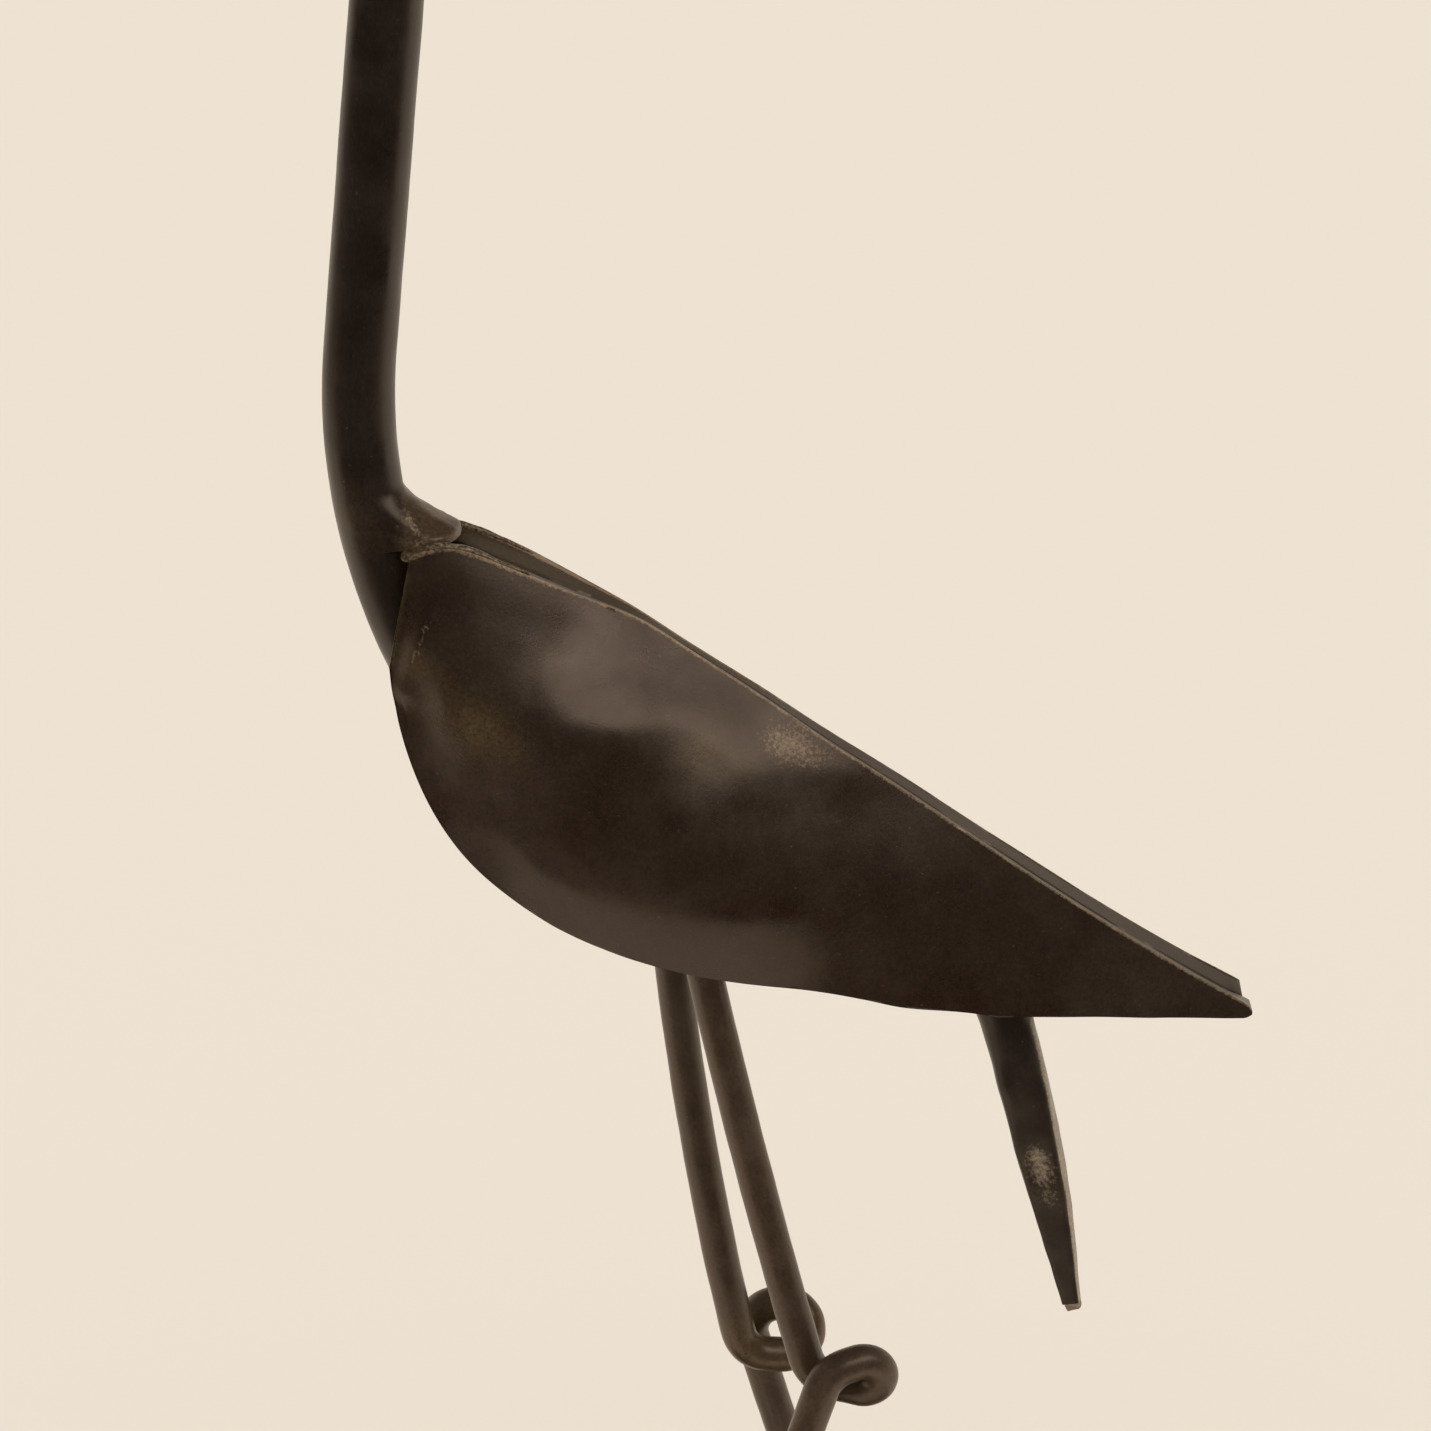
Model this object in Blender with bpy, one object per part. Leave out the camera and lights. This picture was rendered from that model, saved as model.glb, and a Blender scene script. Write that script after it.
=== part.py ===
"""A wading bird of wrought iron that strides on a low base plate.

One forged bar makes the beak, head, neck, back and tail. Two hammered sheets, dished in front and flat
behind, close on it from both sides as body and wings. Each leg is a rod with a full loop for its knee.
Sizes are in metres and angles in degrees. The bird faces -X, and its left side is -Y.
"""

import math

import bmesh
import bpy
from mathutils import Vector

# Clearance left between pieces that touch.
FIT_GAP = 0.0003

# Base plate.
BASE_LENGTH = 0.150
BASE_WIDTH = 0.080
BASE_THICKNESS = 0.006
BASE_CORNER_RADIUS = 0.005
BASE_CHAMFER = 0.0008
BASE_CORNER_STEPS = 5

# Bar: where its neck begins to bend, and the runs and bends from the tip of the beak to the tip of the tail.
# A heading is the angle from straight down towards the tail, going from the beak to the tail.
NECK_BEND_X = -0.0669
NECK_BEND_Z = 0.2850
BEAK_HEADING = 100.0
BEAK_LENGTH = 0.050
HEAD_LENGTH = 0.014
CROOK_RADIUS = 0.020
NECK_HEADING = -5.4
NECK_STRAIGHT = 0.0765
NECK_BEND_RADIUS = 0.103
BREAST_HEADING = 25.5
BREAST_BEND_RADIUS = 0.041
BACK_HEADING = 68.0
BACK_STRAIGHT = 0.0624
RUMP_BEND_RADIUS = 0.031
TAIL_HEADING = 15.0
TAIL_TIP_HEADING = 11.0
TAIL_LENGTH = 0.0532
BAR_SIDES = 12
BAR_RING_SPACING = 0.0085
BAR_RING_TURN = 14.0

# Bar: half its height, seen from the side, and half its width, across the bird.
BEAK_TIP_HALF = 0.0009
BEAK_ROOT_HALF_HEIGHT = 0.0040
BEAK_ROOT_HALF_WIDTH = 0.0036
HEAD_HALF_HEIGHT = 0.0074
HEAD_HALF_WIDTH = 0.0062
NECK_RADIUS = 0.0060
BACK_HALF_HEIGHT = 0.0050
BACK_HALF_WIDTH = 0.0040
TAIL_ROOT_HALF_HEIGHT = 0.0045
TAIL_ROOT_HALF_WIDTH = 0.0039
TAIL_MID_HALF_HEIGHT = 0.0035
TAIL_MID_HALF_WIDTH = 0.0026
TAIL_TIP_HALF_HEIGHT = 0.0015
TAIL_TIP_HALF_WIDTH = 0.0014

# Bar: where those sizes hold, as shares of the beak, the head, the crook and the tail.
BEAK_ROOT_SHARE = 0.96
HEAD_MID_SHARE = 0.65
NAPE_SHARE = 0.35
TAIL_MID_SHARE = 0.55

# Bar: how square the tail is hammered and how far it is turned on its own axis, both reached by this share
# of its length.
TAIL_SQUARENESS = 6.0
TAIL_TURN = 12.0
TAIL_SQUARED_BY = 0.45

# Shells: top line from the shoulder to the wing tip, and its slope at both ends.
SHOULDER_X = -0.0590
SHOULDER_Z = 0.25535
SHOULDER_SLOPE = -0.326
SHOULDER_DIP = 0.0044
SHOULDER_DIP_SHARE = 0.078
WING_TIP_X = 0.0815
WING_TIP_Z = 0.1712
WING_TIP_SLOPE = -0.530
WING_TIP_HEIGHT = 0.0020
WING_NOSE_LENGTH = 0.0018
WING_NOSE_DROP = 0.0007
FAR_WING_SHORTER = 0.0012

# Shells: a rise and a fall of the top line where the sheets were hammered, with the reach of each.
CREST_RISE_X = -0.0216
CREST_RISE = 0.0007
CREST_RISE_REACH = 0.0075
CREST_FALL_X = 0.0094
CREST_FALL = 0.0004
CREST_FALL_REACH = 0.0085

# Shells: their top edges slope down to each other. The slit between them narrows behind the weld and is
# closed from here to the tail. The slope and the edge take up no more than these shares of the side.
CREST_SLOPE = 12.0
CREST_SLOPE_SHARE = 0.3
CREST_EDGE_SHARE = 0.4
SEAM_CLOSED_X = -0.0445

# Shells: the line of breast and belly, a curve with two handles, then straight to the wing tip.
RUMP_SHARE = 0.66
BREAST_X = -0.0628
BREAST_Z = 0.2320
BREAST_HANDLE_X = -0.0573
BREAST_HANDLE_Z = 0.1770
BELLY_HANDLE_X = -0.0094
BELLY_HANDLE_Z = 0.1798
RUMP_X = 0.0385
RUMP_Z = 0.1702

# Shells: thickness of the sheet where it is dished and where it is flat. Where the body is narrow the sheet
# is thinned to a share of the body's half width and a little more.
DISH_THICKNESS = 0.0018
WING_THICKNESS = 0.0028
NARROW_SHARE = 0.45
NARROW_ADDED = 0.0009

# Shells: outer half widths of the body at the top crest and the lower edge, and how far the side domes
# out between them, at five places along the bird.
NECK_TO_SHELL = 0.0003
BREAST_CREST = NECK_RADIUS + NECK_TO_SHELL + DISH_THICKNESS
BREAST_EDGE = BREAST_CREST + 0.0004
BREAST_DOME = 0.0003
SHOULDER_CREST = 0.0070
SHOULDER_EDGE = 0.0118
SHOULDER_DOME = 0.0055
HIP_CREST = 0.0020
HIP_EDGE = 0.0142
HIP_DOME = 0.0094
LOIN_CREST = 0.0036
LOIN_EDGE = 0.0098
LOIN_DOME = 0.0032
TAIL_CREST = 0.00445
TAIL_BAR_TO_SHELL = 0.0009
TAIL_EDGE = TAIL_ROOT_HALF_WIDTH + TAIL_BAR_TO_SHELL + WING_THICKNESS
TAIL_DOME = 0.0008
TIP_CREST = 0.0056
TIP_EDGE = 0.0058
TIP_DOME = 0.0
MID_SHOULDER_X = -0.0420
HIP_X = -0.0160
LOIN_X = 0.0170
TAIL_X = 0.0420
SHELL_STEPS = 34
SIDE_STEPS = 11

# Weld that saddles the front of the shells and fills the corner behind the neck. Its top and its foot are
# distances down the neck from where the neck begins to bend.
WELD_FOOT = NECK_BEND_Z - SHOULDER_Z + 0.00455
WELD_TOP = WELD_FOOT - 0.0096
WELD_EDGE = 0.0013
WELD_REACH = 0.0078
WELD_RISE = 4.0
WELD_WIDENING = 0.45
WELD_STEPS = 7
WELD_UNDERCUT = 0.0004

# Legs: rods with a loop for a knee. The hip is where the rod leaves the shell.
ROD_RADIUS = 0.00305
LEG_TOP_INSIDE = 0.0150
HIP_Z = 0.1710
LEFT_HIP_X = -0.0091
RIGHT_HIP_X = -0.0161
LEFT_HIP_HEADING = 12.5
RIGHT_HIP_HEADING = 6.5
LEFT_THIGH_HEADING = 15.5
RIGHT_THIGH_HEADING = 12.4
LEFT_KNEE_Z = 0.1088
RIGHT_KNEE_Z = 0.1042
KNEE_EASE_RADIUS = 0.0060
LEFT_KNEE_EYE_RADIUS = 0.0035
RIGHT_KNEE_EYE_RADIUS = 0.0039
LEFT_KNEE_UNDER_HEADING = 86.0
RIGHT_KNEE_UNDER_HEADING = 80.0
LEFT_KNEE_OVER_HEADING = 282.0
RIGHT_KNEE_OVER_HEADING = 278.0
LEFT_KNEE_UNDER = 0.0036
RIGHT_KNEE_UNDER = 0.0030
LEFT_KNEE_OVER = 0.0015
RIGHT_KNEE_OVER = 0.0004
LEFT_SHIN_HEADING = -18.3
RIGHT_SHIN_HEADING = 16.8
ROD_TO_SHELL = 0.00055
HIP_Y = HIP_EDGE - DISH_THICKNESS - ROD_TO_SHELL - ROD_RADIUS
THIGH_Y = HIP_Y + 0.0012
KNEE_PITCH = 2.0 * ROD_RADIUS + 0.0029
ANKLE_Y = THIGH_Y + KNEE_PITCH + 0.0010
ANKLE_BEND_RADIUS = 0.0090
ANKLE_STRAIGHT = 0.0025
ROD_SIDES = 10
ROD_RING_SPACING = 0.030
ROD_RING_TURN = 20.0

# Feet: three toes in front and a short one behind, drawn out from one hub.
HUB_HEIGHT = 0.0062
HUB_RADIUS = 0.0042
HUB_SPREAD = 4.0
FRONT_TOE_LENGTH = 0.0300
BACK_TOE_LENGTH = 0.0150
TOE_SPREAD = 36.0
TOE_ROOT_HALF_WIDTH = 0.0025
TOE_TIP_HALF_WIDTH = 0.0010
TOE_ROOT_HEIGHT = 0.0040
TOE_TIP_HEIGHT = 0.0016
TOE_CHAMFER = 0.0006

# Roughness of the iron, and how metallic it looks under its patina.
BAR_ROUGHNESS = 0.42
SHELL_ROUGHNESS = 0.38
LEG_ROUGHNESS = 0.45
FOOT_ROUGHNESS = 0.45
BASE_ROUGHNESS = 0.5
METALLIC = 0.6

# Colours of the iron, as red, green and blue.
BAR_COLOUR = (0.052, 0.041, 0.034)
LEFT_SHELL_COLOUR = (0.075, 0.062, 0.054)
RIGHT_SHELL_COLOUR = (0.070, 0.058, 0.050)
LEFT_LEG_COLOUR = (0.085, 0.060, 0.045)
RIGHT_LEG_COLOUR = (0.090, 0.064, 0.046)
LEFT_FOOT_COLOUR = (0.060, 0.048, 0.040)
RIGHT_FOOT_COLOUR = (0.062, 0.050, 0.042)
BASE_COLOUR = (0.040, 0.035, 0.031)


def clear_scene():
    """Remove whatever the new file starts with."""
    for item in list(bpy.data.objects):
        bpy.data.objects.remove(item, do_unlink=True)


def add_piece(name, points, faces, colour, roughness):
    """One object with its own material, its faces turned to face out."""
    mesh = bpy.data.meshes.new(name)
    mesh.from_pydata([tuple(p) for p in points], [], faces)
    work = bmesh.new()
    work.from_mesh(mesh)
    bmesh.ops.recalc_face_normals(work, faces=work.faces)
    work.to_mesh(mesh)
    work.free()
    piece = bpy.data.objects.new(name, mesh)
    bpy.context.scene.collection.objects.link(piece)
    material = bpy.data.materials.new(name + "_iron")
    material.use_nodes = True
    shader = material.node_tree.nodes["Principled BSDF"]
    shader.inputs["Base Color"].default_value = (*colour, 1.0)
    shader.inputs["Metallic"].default_value = METALLIC
    shader.inputs["Roughness"].default_value = roughness
    mesh.materials.append(material)
    return piece


def loft(rings):
    """Points and faces of a solid skinned over rings of equal count, closed at both ends."""
    count = len(rings[0])
    points = [p for ring in rings for p in ring]
    faces = []
    for r in range(len(rings) - 1):
        for k in range(count):
            n = (k + 1) % count
            low, high = r * count, (r + 1) * count
            faces.append((low + k, low + n, high + n, high + k))
    faces.append(tuple(range(count)))
    last = (len(rings) - 1) * count
    faces.append(tuple(last + k for k in range(count)))
    return points, faces


def straight(length):
    """A step of a path that keeps its heading."""
    return (length, 0.0)


def bend(radius, turn):
    """A step of a path that turns by an angle in degrees at a radius."""
    return (radius * math.radians(abs(turn)), turn)


def path_point(start, heading, steps, distance):
    """Position (x, z) and heading after a distance along straight and bent steps."""
    x, z = start
    for length, turn in steps:
        part = min(distance, length)
        turned = math.radians(turn) * part / length
        angle = math.radians(heading)
        chord = part
        if abs(turned) > 1e-9:
            chord = part * math.sin(turned / 2.0) / (turned / 2.0)
        x += chord * math.sin(angle + turned / 2.0)
        z -= chord * math.cos(angle + turned / 2.0)
        heading += math.degrees(turned)
        distance -= part
        if distance <= 0.0:
            break
    return x, z, heading


def spaced(steps, run_spacing, turn_spacing):
    """Distances along a path: close on bends and wide on straight runs."""
    distances = [0.0]
    for length, turn in steps:
        count = max(1, math.ceil(abs(turn) / turn_spacing), math.ceil(length / run_spacing))
        begin = distances[-1]
        distances += [begin + length * (i + 1) / count for i in range(count)]
    return distances


def between(stations, at):
    """Smooth value between (place, value) stations that never passes beyond its neighbours."""
    if at <= stations[0][0]:
        return stations[0][1]
    if at >= stations[-1][0]:
        return stations[-1][1]
    slopes = [(b[1] - a[1]) / (b[0] - a[0]) for a, b in zip(stations, stations[1:])]
    tangents = [slopes[0]]
    for before, after in zip(slopes, slopes[1:]):
        same_way = before * after > 0.0
        tangents.append(2.0 * before * after / (before + after) if same_way else 0.0)
    tangents.append(slopes[-1])
    for i, (low, high) in enumerate(zip(stations, stations[1:])):
        if at <= high[0]:
            break
    span = high[0] - low[0]
    t = (at - low[0]) / span
    return (
        (2 * t**3 - 3 * t**2 + 1) * low[1]
        + (t**3 - 2 * t**2 + t) * tangents[i] * span
        + (3 * t**2 - 2 * t**3) * high[1]
        + (t**3 - t**2) * tangents[i + 1] * span
    )


def bar_steps():
    """Runs and bends of the bar, from the tip of the beak to the tip of the tail."""
    return [
        straight(BEAK_LENGTH),
        straight(HEAD_LENGTH),
        bend(CROOK_RADIUS, NECK_HEADING - BEAK_HEADING),
        straight(NECK_STRAIGHT),
        bend(NECK_BEND_RADIUS, BREAST_HEADING - NECK_HEADING),
        bend(BREAST_BEND_RADIUS, BACK_HEADING - BREAST_HEADING),
        straight(BACK_STRAIGHT),
        bend(RUMP_BEND_RADIUS, TAIL_HEADING - BACK_HEADING),
        (TAIL_LENGTH, TAIL_TIP_HEADING - TAIL_HEADING),
    ]


def bar_sections(steps):
    """Half height and half width of the bar by distance from the tip of the beak."""
    ends = [0.0]
    for length, _ in steps:
        ends.append(ends[-1] + length)
    beak_root, head_back, crook_end = ends[1], ends[2], ends[3]
    breast, back_start, back_end, rump, tip = ends[5], ends[6], ends[7], ends[8], ends[9]
    tail_mid = rump + TAIL_MID_SHARE * (tip - rump)
    head_mid = beak_root + HEAD_MID_SHARE * HEAD_LENGTH
    nape = head_back + NAPE_SHARE * (crook_end - head_back)
    height = [
        (0.0, BEAK_TIP_HALF),
        (BEAK_ROOT_SHARE * beak_root, BEAK_ROOT_HALF_HEIGHT),
        (head_mid, HEAD_HALF_HEIGHT),
        (nape, NECK_RADIUS),
        (breast, NECK_RADIUS),
        (back_start, BACK_HALF_HEIGHT),
        (back_end, BACK_HALF_HEIGHT),
        (rump, TAIL_ROOT_HALF_HEIGHT),
        (tail_mid, TAIL_MID_HALF_HEIGHT),
        (tip, TAIL_TIP_HALF_HEIGHT),
    ]
    width = [
        (0.0, BEAK_TIP_HALF),
        (BEAK_ROOT_SHARE * beak_root, BEAK_ROOT_HALF_WIDTH),
        (head_mid, HEAD_HALF_WIDTH),
        (nape, NECK_RADIUS),
        (breast, NECK_RADIUS),
        (back_start, BACK_HALF_WIDTH),
        (back_end, BACK_HALF_WIDTH),
        (rump, TAIL_ROOT_HALF_WIDTH),
        (tail_mid, TAIL_MID_HALF_WIDTH),
        (tip, TAIL_TIP_HALF_WIDTH),
    ]
    return height, width, rump, tip


def bar_ring(steps, start, distance, height, width, rump, tip, weld_from):
    """One ring of the bar: round, and squarer towards the tip of the tail."""
    x, z, heading = path_point(start, BEAK_HEADING, steps, distance)
    angle = math.radians(heading)
    across = Vector((math.cos(angle), 0.0, math.sin(angle)))
    half_height = between(height, distance)
    half_width = between(width, distance)
    hammered = min(1.0, max(0.0, (distance - rump) / (tip - rump)) / TAIL_SQUARED_BY)
    power = 2.0 / (2.0 + (TAIL_SQUARENESS - 2.0) * hammered)
    turned = math.radians(TAIL_TURN * hammered)
    flare = weld_flare(distance - weld_from)
    rise = math.radians(WELD_RISE)
    backward = Vector((math.cos(rise), 0.0, math.sin(rise))) * WELD_REACH
    ring = []
    for k in range(BAR_SIDES):
        turn = 2.0 * math.pi * k / BAR_SIDES
        c, s = math.cos(turn), math.sin(turn)
        u = math.copysign(abs(c) ** power, c) * half_height
        v = math.copysign(abs(s) ** power, s) * half_width
        u, v = u * math.cos(turned) + v * math.sin(turned), v * math.cos(turned) - u * math.sin(turned)
        share = flare * (1.0 - (1.0 - max(0.0, c)) ** 3)
        point = Vector((x, v * (1.0 + WELD_WIDENING * share), z)) + across * u
        ring.append(point + backward * share)
    return ring


def weld_flare(past):
    """Share of the weld's reach, growing down the neck and ending on the shells."""
    if past < WELD_TOP or past > WELD_FOOT + 1e-6:
        return 0.0
    return min(1.0, (past - WELD_TOP) / (WELD_FOOT - WELD_EDGE - WELD_TOP)) ** 1.5


def neck_and_tail_bar():
    """The bar, with its neck set where the photograph shows it."""
    steps = bar_steps()
    to_neck_bend = sum(length for length, _ in steps[:4])
    x, z, _ = path_point((0.0, 0.0), BEAK_HEADING, steps, to_neck_bend)
    start = (NECK_BEND_X - x, NECK_BEND_Z - z)
    height, width, rump, tip = bar_sections(steps)
    distances = spaced(steps, BAR_RING_SPACING, BAR_RING_TURN)
    low, high = to_neck_bend + WELD_TOP, to_neck_bend + WELD_FOOT
    distances = [d for d in distances if d < low or d > high + 4.0 * WELD_UNDERCUT]
    distances += [low + (high - low) * i / WELD_STEPS for i in range(WELD_STEPS + 1)]
    distances.append(high + WELD_UNDERCUT)
    rings = []
    for distance in sorted(distances):
        rings.append(bar_ring(steps, start, distance, height, width, rump, tip, to_neck_bend))
    points, faces = loft(rings)
    return add_piece("neck_and_tail_bar", points, faces, BAR_COLOUR, BAR_ROUGHNESS)


def top_line(t):
    """Point (x, z) on the crest of a shell, from the shoulder at 0 to the wing tip at 1."""
    span = WING_TIP_X - SHOULDER_X
    z = (
        (2 * t**3 - 3 * t**2 + 1) * SHOULDER_Z
        + (t**3 - 2 * t**2 + t) * SHOULDER_SLOPE * span
        + (3 * t**2 - 2 * t**3) * WING_TIP_Z
        + (t**3 - t**2) * WING_TIP_SLOPE * span
    )
    x = SHOULDER_X + span * t
    dip = SHOULDER_DIP * max(0.0, 1.0 - t / SHOULDER_DIP_SHARE) ** 2
    rise = CREST_RISE * math.exp(-(((x - CREST_RISE_X) / CREST_RISE_REACH) ** 2))
    fall = CREST_FALL * math.exp(-(((x - CREST_FALL_X) / CREST_FALL_REACH) ** 2))
    return x, z - dip + rise - fall - nose_drop(t)


def nose_drop(t):
    """How far the wing tip's upper and lower corners are rounded off."""
    before_tip = (1.0 - t) * (WING_TIP_X - SHOULDER_X)
    return WING_NOSE_DROP * max(0.0, 1.0 - before_tip / WING_NOSE_LENGTH) ** 2


def bottom_line(t):
    """Point (x, z) on the lower edge of a shell, from the breast at 0 to the wing tip at 1."""
    if t <= RUMP_SHARE:
        s = t / RUMP_SHARE
        ends = (
            ((1 - s) ** 3, BREAST_X, BREAST_Z),
            (3 * s * (1 - s) ** 2, BREAST_HANDLE_X, BREAST_HANDLE_Z),
            (3 * s * s * (1 - s), BELLY_HANDLE_X, BELLY_HANDLE_Z),
            (s**3, RUMP_X, RUMP_Z),
        )
        return sum(w * x for w, x, _ in ends), sum(w * z for w, _, z in ends)
    s = (t - RUMP_SHARE) / (1.0 - RUMP_SHARE)
    tip_z = WING_TIP_Z - WING_TIP_HEIGHT
    return RUMP_X + (WING_TIP_X - RUMP_X) * s, RUMP_Z + (tip_z - RUMP_Z) * s + nose_drop(t)


def shell_widths(x):
    """Outer half widths at the crest and the lower edge, the dome, and the sheet's thickness."""
    places = (BREAST_X, MID_SHOULDER_X, HIP_X, LOIN_X, TAIL_X, WING_TIP_X)
    crests = (BREAST_CREST, SHOULDER_CREST, HIP_CREST, LOIN_CREST, TAIL_CREST, TIP_CREST)
    edges = (BREAST_EDGE, SHOULDER_EDGE, HIP_EDGE, LOIN_EDGE, TAIL_EDGE, TIP_EDGE)
    domes = (BREAST_DOME, SHOULDER_DOME, HIP_DOME, LOIN_DOME, TAIL_DOME, TIP_DOME)
    sheets = 4 * (DISH_THICKNESS,) + 2 * (WING_THICKNESS,)
    return tuple(between(list(zip(places, row)), x) for row in (crests, edges, domes, sheets))


def seam_half_width(x, inside):
    """Half the slit between the shells' top edges: as wide as their inside at the weld, then closing."""
    open_share = max(0.0, (SEAM_CLOSED_X - x) / (SEAM_CLOSED_X - SHOULDER_X))
    closed = FIT_GAP / 2.0
    return closed + max(0.0, inside - closed) * open_share**2


def shell_section(t):
    """The outer and the inner line of one shell's section, as (x, half width, z) from seam to lower edge."""
    top_x, top_z = top_line(t)
    low_x, low_z = bottom_line(t)
    outer = []
    for k in range(SIDE_STEPS + 1):
        s = k / SIDE_STEPS
        x = top_x + (low_x - top_x) * s
        z = top_z + (low_z - top_z) * s
        crest, edge, dome, _ = shell_widths(x)
        outer.append((x, crest + (edge - crest) * s + dome * math.sin(math.pi * s), z))
    sheet = min(shell_widths(top_x)[3], NARROW_SHARE * outer[0][1] + NARROW_ADDED)
    inner = []
    for k, (x, y, z) in enumerate(outer):
        before, after = outer[max(0, k - 1)], outer[min(SIDE_STEPS, k + 1)]
        run, drop = after[1] - before[1], before[2] - after[2]
        length = math.hypot(run, drop)
        inner.append((x, y - sheet * drop / length, z - sheet * run / length))
    crest = outer[0][1]
    seam = seam_half_width(top_x, crest - sheet)
    slope = math.tan(math.radians(CREST_SLOPE))
    seam_z = top_z - min(slope * (crest - seam), CREST_SLOPE_SHARE * (top_z - low_z))
    edge_height = min(sheet, CREST_EDGE_SHARE * (seam_z - low_z))
    corner = max(seam + FIT_GAP, crest - sheet)
    inner[0] = (top_x, corner, seam_z - edge_height)
    outer.insert(0, (top_x, seam, seam_z))
    inner.insert(0, (top_x, seam, seam_z - edge_height))
    return outer, inner


def wing_shell(name, side, shorter, colour):
    """One shell. Its side is -1 on the bird's left and 1 on its right."""
    rings = []
    span = WING_TIP_X - SHOULDER_X
    reach = (span - shorter) / span
    places = [reach * i / SHELL_STEPS for i in range(SHELL_STEPS + 1)]
    places.insert(-1, reach - WING_NOSE_LENGTH / span)
    for t in places:
        outer, inner = shell_section(t)
        loop = outer + inner[::-1]
        rings.append([Vector((x, side * y, z)) for x, y, z in loop])
    points, faces = loft(rings)
    return add_piece(name, points, faces, colour, SHELL_ROUGHNESS)


def leg(name, side, hip_x, hip_heading, thigh, knee_z, under, eye, over, shin, colour):
    """One leg: thigh, looped knee and shin, with its shin crossing on the outer side of the thigh.

    Under and over are the (length, heading) of the straight runs below and above the loop's eye, and eye
    is its radius.
    """
    hip_angle = math.radians(hip_heading)
    start_x = hip_x - LEG_TOP_INSIDE * math.sin(hip_angle)
    start_z = HIP_Z + LEG_TOP_INSIDE * math.cos(hip_angle)
    mean_angle = math.radians((hip_heading + thigh) / 2.0)
    steps = [
        straight(LEG_TOP_INSIDE),
        ((HIP_Z - knee_z) / math.cos(mean_angle), thigh - hip_heading),
        bend(KNEE_EASE_RADIUS, under[1] - thigh),
        straight(under[0]),
        bend(eye, over[1] - under[1]),
        straight(over[0]),
        bend(KNEE_EASE_RADIUS, 360.0 + shin - over[1]),
    ]
    knee_start = steps[0][0] + steps[1][0]
    knee_end = sum(length for length, _ in steps)
    knee_end_z = path_point((start_x, start_z), hip_heading, steps, knee_end)[1]
    ground = BASE_THICKNESS + FIT_GAP + HUB_HEIGHT + FIT_GAP
    ankle_drop = ANKLE_STRAIGHT + ANKLE_BEND_RADIUS * abs(math.sin(math.radians(shin)))
    steps += [
        straight((knee_end_z - ground - ankle_drop) / math.cos(math.radians(shin))),
        bend(ANKLE_BEND_RADIUS, -shin),
        straight(ANKLE_STRAIGHT),
    ]
    total = sum(length for length, _ in steps)
    places = [
        (0.0, HIP_Y),
        (knee_start, THIGH_Y),
        (knee_end, THIGH_Y + KNEE_PITCH),
        (total, ANKLE_Y),
    ]
    centres = []
    for distance in spaced(steps, ROD_RING_SPACING, ROD_RING_TURN):
        x, z, _ = path_point((start_x, start_z), hip_heading, steps, distance)
        centres.append(Vector((x, side * between(places, distance), z)))
    rings = []
    for i, centre in enumerate(centres):
        ahead = centres[min(i + 1, len(centres) - 1)] - centre
        behind = centre - centres[max(i - 1, 0)]
        along = (ahead.normalized() + behind.normalized()).normalized()
        if i == len(centres) - 1:
            along = Vector((0.0, 0.0, -1.0))
        sideways = (Vector((0.0, 1.0, 0.0)) - along * along.y).normalized()
        across = along.cross(sideways)
        ring = []
        for k in range(ROD_SIDES):
            angle = 2.0 * math.pi * k / ROD_SIDES
            ring.append(centre + (sideways * math.cos(angle) + across * math.sin(angle)) * ROD_RADIUS)
        rings.append(ring)
    points, faces = loft(rings)
    return add_piece(name, points, faces, colour, LEG_ROUGHNESS), centres[-1]


def foot(name, ankle, colour):
    """One foot: a flat underside, four tapered toes and a hub that the shin stands on."""
    floor = BASE_THICKNESS + FIT_GAP
    toes = [
        (180.0 - TOE_SPREAD, FRONT_TOE_LENGTH),
        (180.0, FRONT_TOE_LENGTH),
        (180.0 + TOE_SPREAD, FRONT_TOE_LENGTH),
        (360.0, BACK_TOE_LENGTH),
    ]
    outline = []
    for i, (heading, length) in enumerate(toes):
        before = toes[i - 1][0] - (360.0 if i == 0 else 0.0)
        web = math.radians((heading + before) / 2.0)
        gap = math.radians(heading - before)
        reach = min(TOE_ROOT_HALF_WIDTH / math.sin(gap / 2.0), 1.5 * HUB_RADIUS)
        reach = max(reach, TOE_ROOT_HALF_WIDTH)
        outline.append((web, reach, 0.0, TOE_ROOT_HEIGHT))
        angle = math.radians(heading)
        outline.append((angle, length, -TOE_TIP_HALF_WIDTH, TOE_TIP_HEIGHT))
        outline.append((angle, length, TOE_TIP_HALF_WIDTH, TOE_TIP_HEIGHT))
    rings = [[], [], [], []]
    for angle, reach, offset, height in outline:
        outward = Vector((math.cos(angle), math.sin(angle), 0.0))
        sideways = Vector((-math.sin(angle), math.cos(angle), 0.0))
        at = Vector((ankle.x, ankle.y, floor)) + outward * reach + sideways * offset
        inward = at - (outward + sideways * math.copysign(1.0, offset) * (offset != 0.0)) * TOE_CHAMFER
        toward = (outward * reach + sideways * offset * HUB_SPREAD).normalized()
        hub = Vector((ankle.x, ankle.y, floor)) + toward * HUB_RADIUS
        rings[0].append(at)
        rings[1].append(at + Vector((0.0, 0.0, height - TOE_CHAMFER)))
        rings[2].append(inward + Vector((0.0, 0.0, height)))
        rings[3].append(hub + Vector((0.0, 0.0, HUB_HEIGHT)))
    points, faces = loft(rings)
    return add_piece(name, points, faces, colour, FOOT_ROUGHNESS)


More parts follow.
